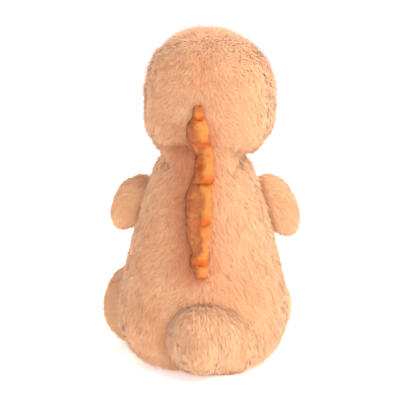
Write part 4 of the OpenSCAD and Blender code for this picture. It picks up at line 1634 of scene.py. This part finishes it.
def limbs() -> list[Limb]:
    """The arms, the legs and the tail.

    Returns:
        The stubs, not yet modelled.
    """
    arm_pile = Pile(length=0.0082)
    leg_pile = Pile(length=0.0080)
    tail_pile = Pile(length=0.0092, lift_root=26.0, lift_tip=3.0, tuft_strength=0.45)
    made = []
    for side in Side:
        label, s = side.name.lower(), side.value
        made.append(
            Limb(
                f"arm_{label}", tuple(f"arm_{label}_{part}" for part in ("outer", "inner", "filling")),
                (s * 0.050, -0.008, 0.150), (s * 0.75, -0.25, -0.45), arm_pile, 50 + s, 0.5,
                squat=0.87 if side is Side.LEFT else 1.0, drop=0.0 if side is Side.LEFT else 2.5 * MM,
                push=0.0 if side is Side.LEFT else -2.5 * MM,
            )
        )
        splay = math.radians(45.0 if side is Side.LEFT else 3.0)
        made.append(
            Limb(
                f"leg_{label}", tuple(f"leg_{label}_{part}" for part in ("upper", "under", "sole", "filling")),
                (s * 0.0395, -0.066, 0.0365), (s * math.sin(splay), -math.cos(splay), 0.0), leg_pile, 60 + s, 0.4, True,
                # painted shade: the left leg's pile is darkened, as it stands in shade
                easing=12, painted_shade=0.16 if side is Side.LEFT else 0.0,
            )
        )
    made.append(
        Limb(
            "tail", ("tail_left", "tail_right", "tail_under", "tail_filling"), (0.0, 0.060, 0.0315),
            # painted highlight: the tail's pile is paler, as it faces up into the light
            (-0.1, 1.0, -0.25), tail_pile, 70, 2.4, flare=15 * MM, paler=0.2, reach=Reach.TORSO_TO_TAIL,
        )
    )
    return made


def crest_stretches() -> list[CrestStretch]:
    """The crest's three stretches, from the back to the head.

    Returns:
        The stretches, not yet modelled.
    """
    def nodes(stretch: str) -> tuple[str, ...]:
        """The names of a stretch's nodes."""
        return tuple(f"crest_{stretch}_{part}" for part in ("cover_left", "cover_right", "padding"))

    profile = {
        "back": ((84, 56), (97, 54), (129, 48.5), (161, 41), (166, 40), (189, 39), (200, 41), (225, 44), (236, 44)),
        "root": ((84, 1), (161, 1), (188, 0), (196, 4), (225, 4.5), (236, 4.5)),
        "right": (
            (84, -3.5), (102, -5.5), (129, -7.5), (160, -10), (188, -10), (196, -8.5), (201, -5.5), (212, -5.5),
            (218, -2), (228, 2),
        ),
        "left": (
            (84, 4), (89, 3), (97, 5), (103, 5.4), (109, 0), (120, 0), (129, 3.4), (136, -0.5), (148, -0.5),
            (161, 1.5), (168, 0), (180, -1.5), (194, 0), (202, 3), (209, 6.5), (218, 7), (228, 5.5),
        ),
        "swell": (
            (84, 6), (97, 10), (102, 10), (106, 8), (115, 10.5), (130, 13.5), (150, 13.5), (161, 10.5), (170, 7),
            (180, 5.5), (187, 6), (193, 9), (200, 13), (211, 13.5), (219, 8), (228, 6),
        ),
    }
    return [
        CrestStretch(
            "crest_back", "crest_back", nodes("back"), 91, 83.5, 164.4, (84, 97, 129, 163), profile,
            closed=(True, False),
        ),
        CrestStretch(
            "crest_neck", "neck", nodes("neck"), 92, 162.4, 188.6, (163, 195), profile, Reach.TORSO_TO_NECK,
        ),
        CrestStretch(
            "crest_head", "crest_head", nodes("head"), 93, 187.4, 228.0, (163, 195, 218, 229), profile,
            closed=(False, True),
        ),
    ]


def dress_frame(finishes: Finishes) -> None:
    """Gives the frame's own nodes that stay their finishes.

    Args:
        finishes: the toy's finishes.
    """
    kept = {
        "eye_left": finishes.eye, "eye_right": finishes.eye,
        "eye_washer_left": finishes.washer, "eye_washer_right": finishes.washer,
        "pellet_pouch": finishes.pouch, "pellets": finishes.pellets,
        "nostril_threads": finishes.thread, "mouth_thread": finishes.thread,
        "crest_neck_tape": finishes.crest_backing,
    }
    for name, finish in kept.items():
        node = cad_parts[name]
        node.data.materials.clear()
        node.data.materials.append(finish)


def main() -> None:
    """Builds the toy and its stage."""
    logging.basicConfig(level=logging.INFO, format="%(message)s")
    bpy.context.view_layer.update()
    finishes = Finishes.make()
    torso, head = Torso(), Head()
    stubs = limbs()
    crest = crest_stretches()
    parts = [torso, head, *stubs, *crest]
    for part in parts:
        part.build()
        LOG.info("built %s", part.skin.obj.name)
    for stub in stubs:
        if stub.flare:
            stub.join_smoothly(torso.skin)
    skins = [part.skin for part in parts]
    for skin in skins:
        skin.measure_gaps(skins)
    for part in parts:
        for piece in part.dress(finishes):
            part.skin.follow(piece)
            LOG.info("dressed %s: %d faces", piece.name, len(piece.data.polygons))
    dress_frame(finishes)
    Studio().build()


if __name__ == "__main__":
    main()
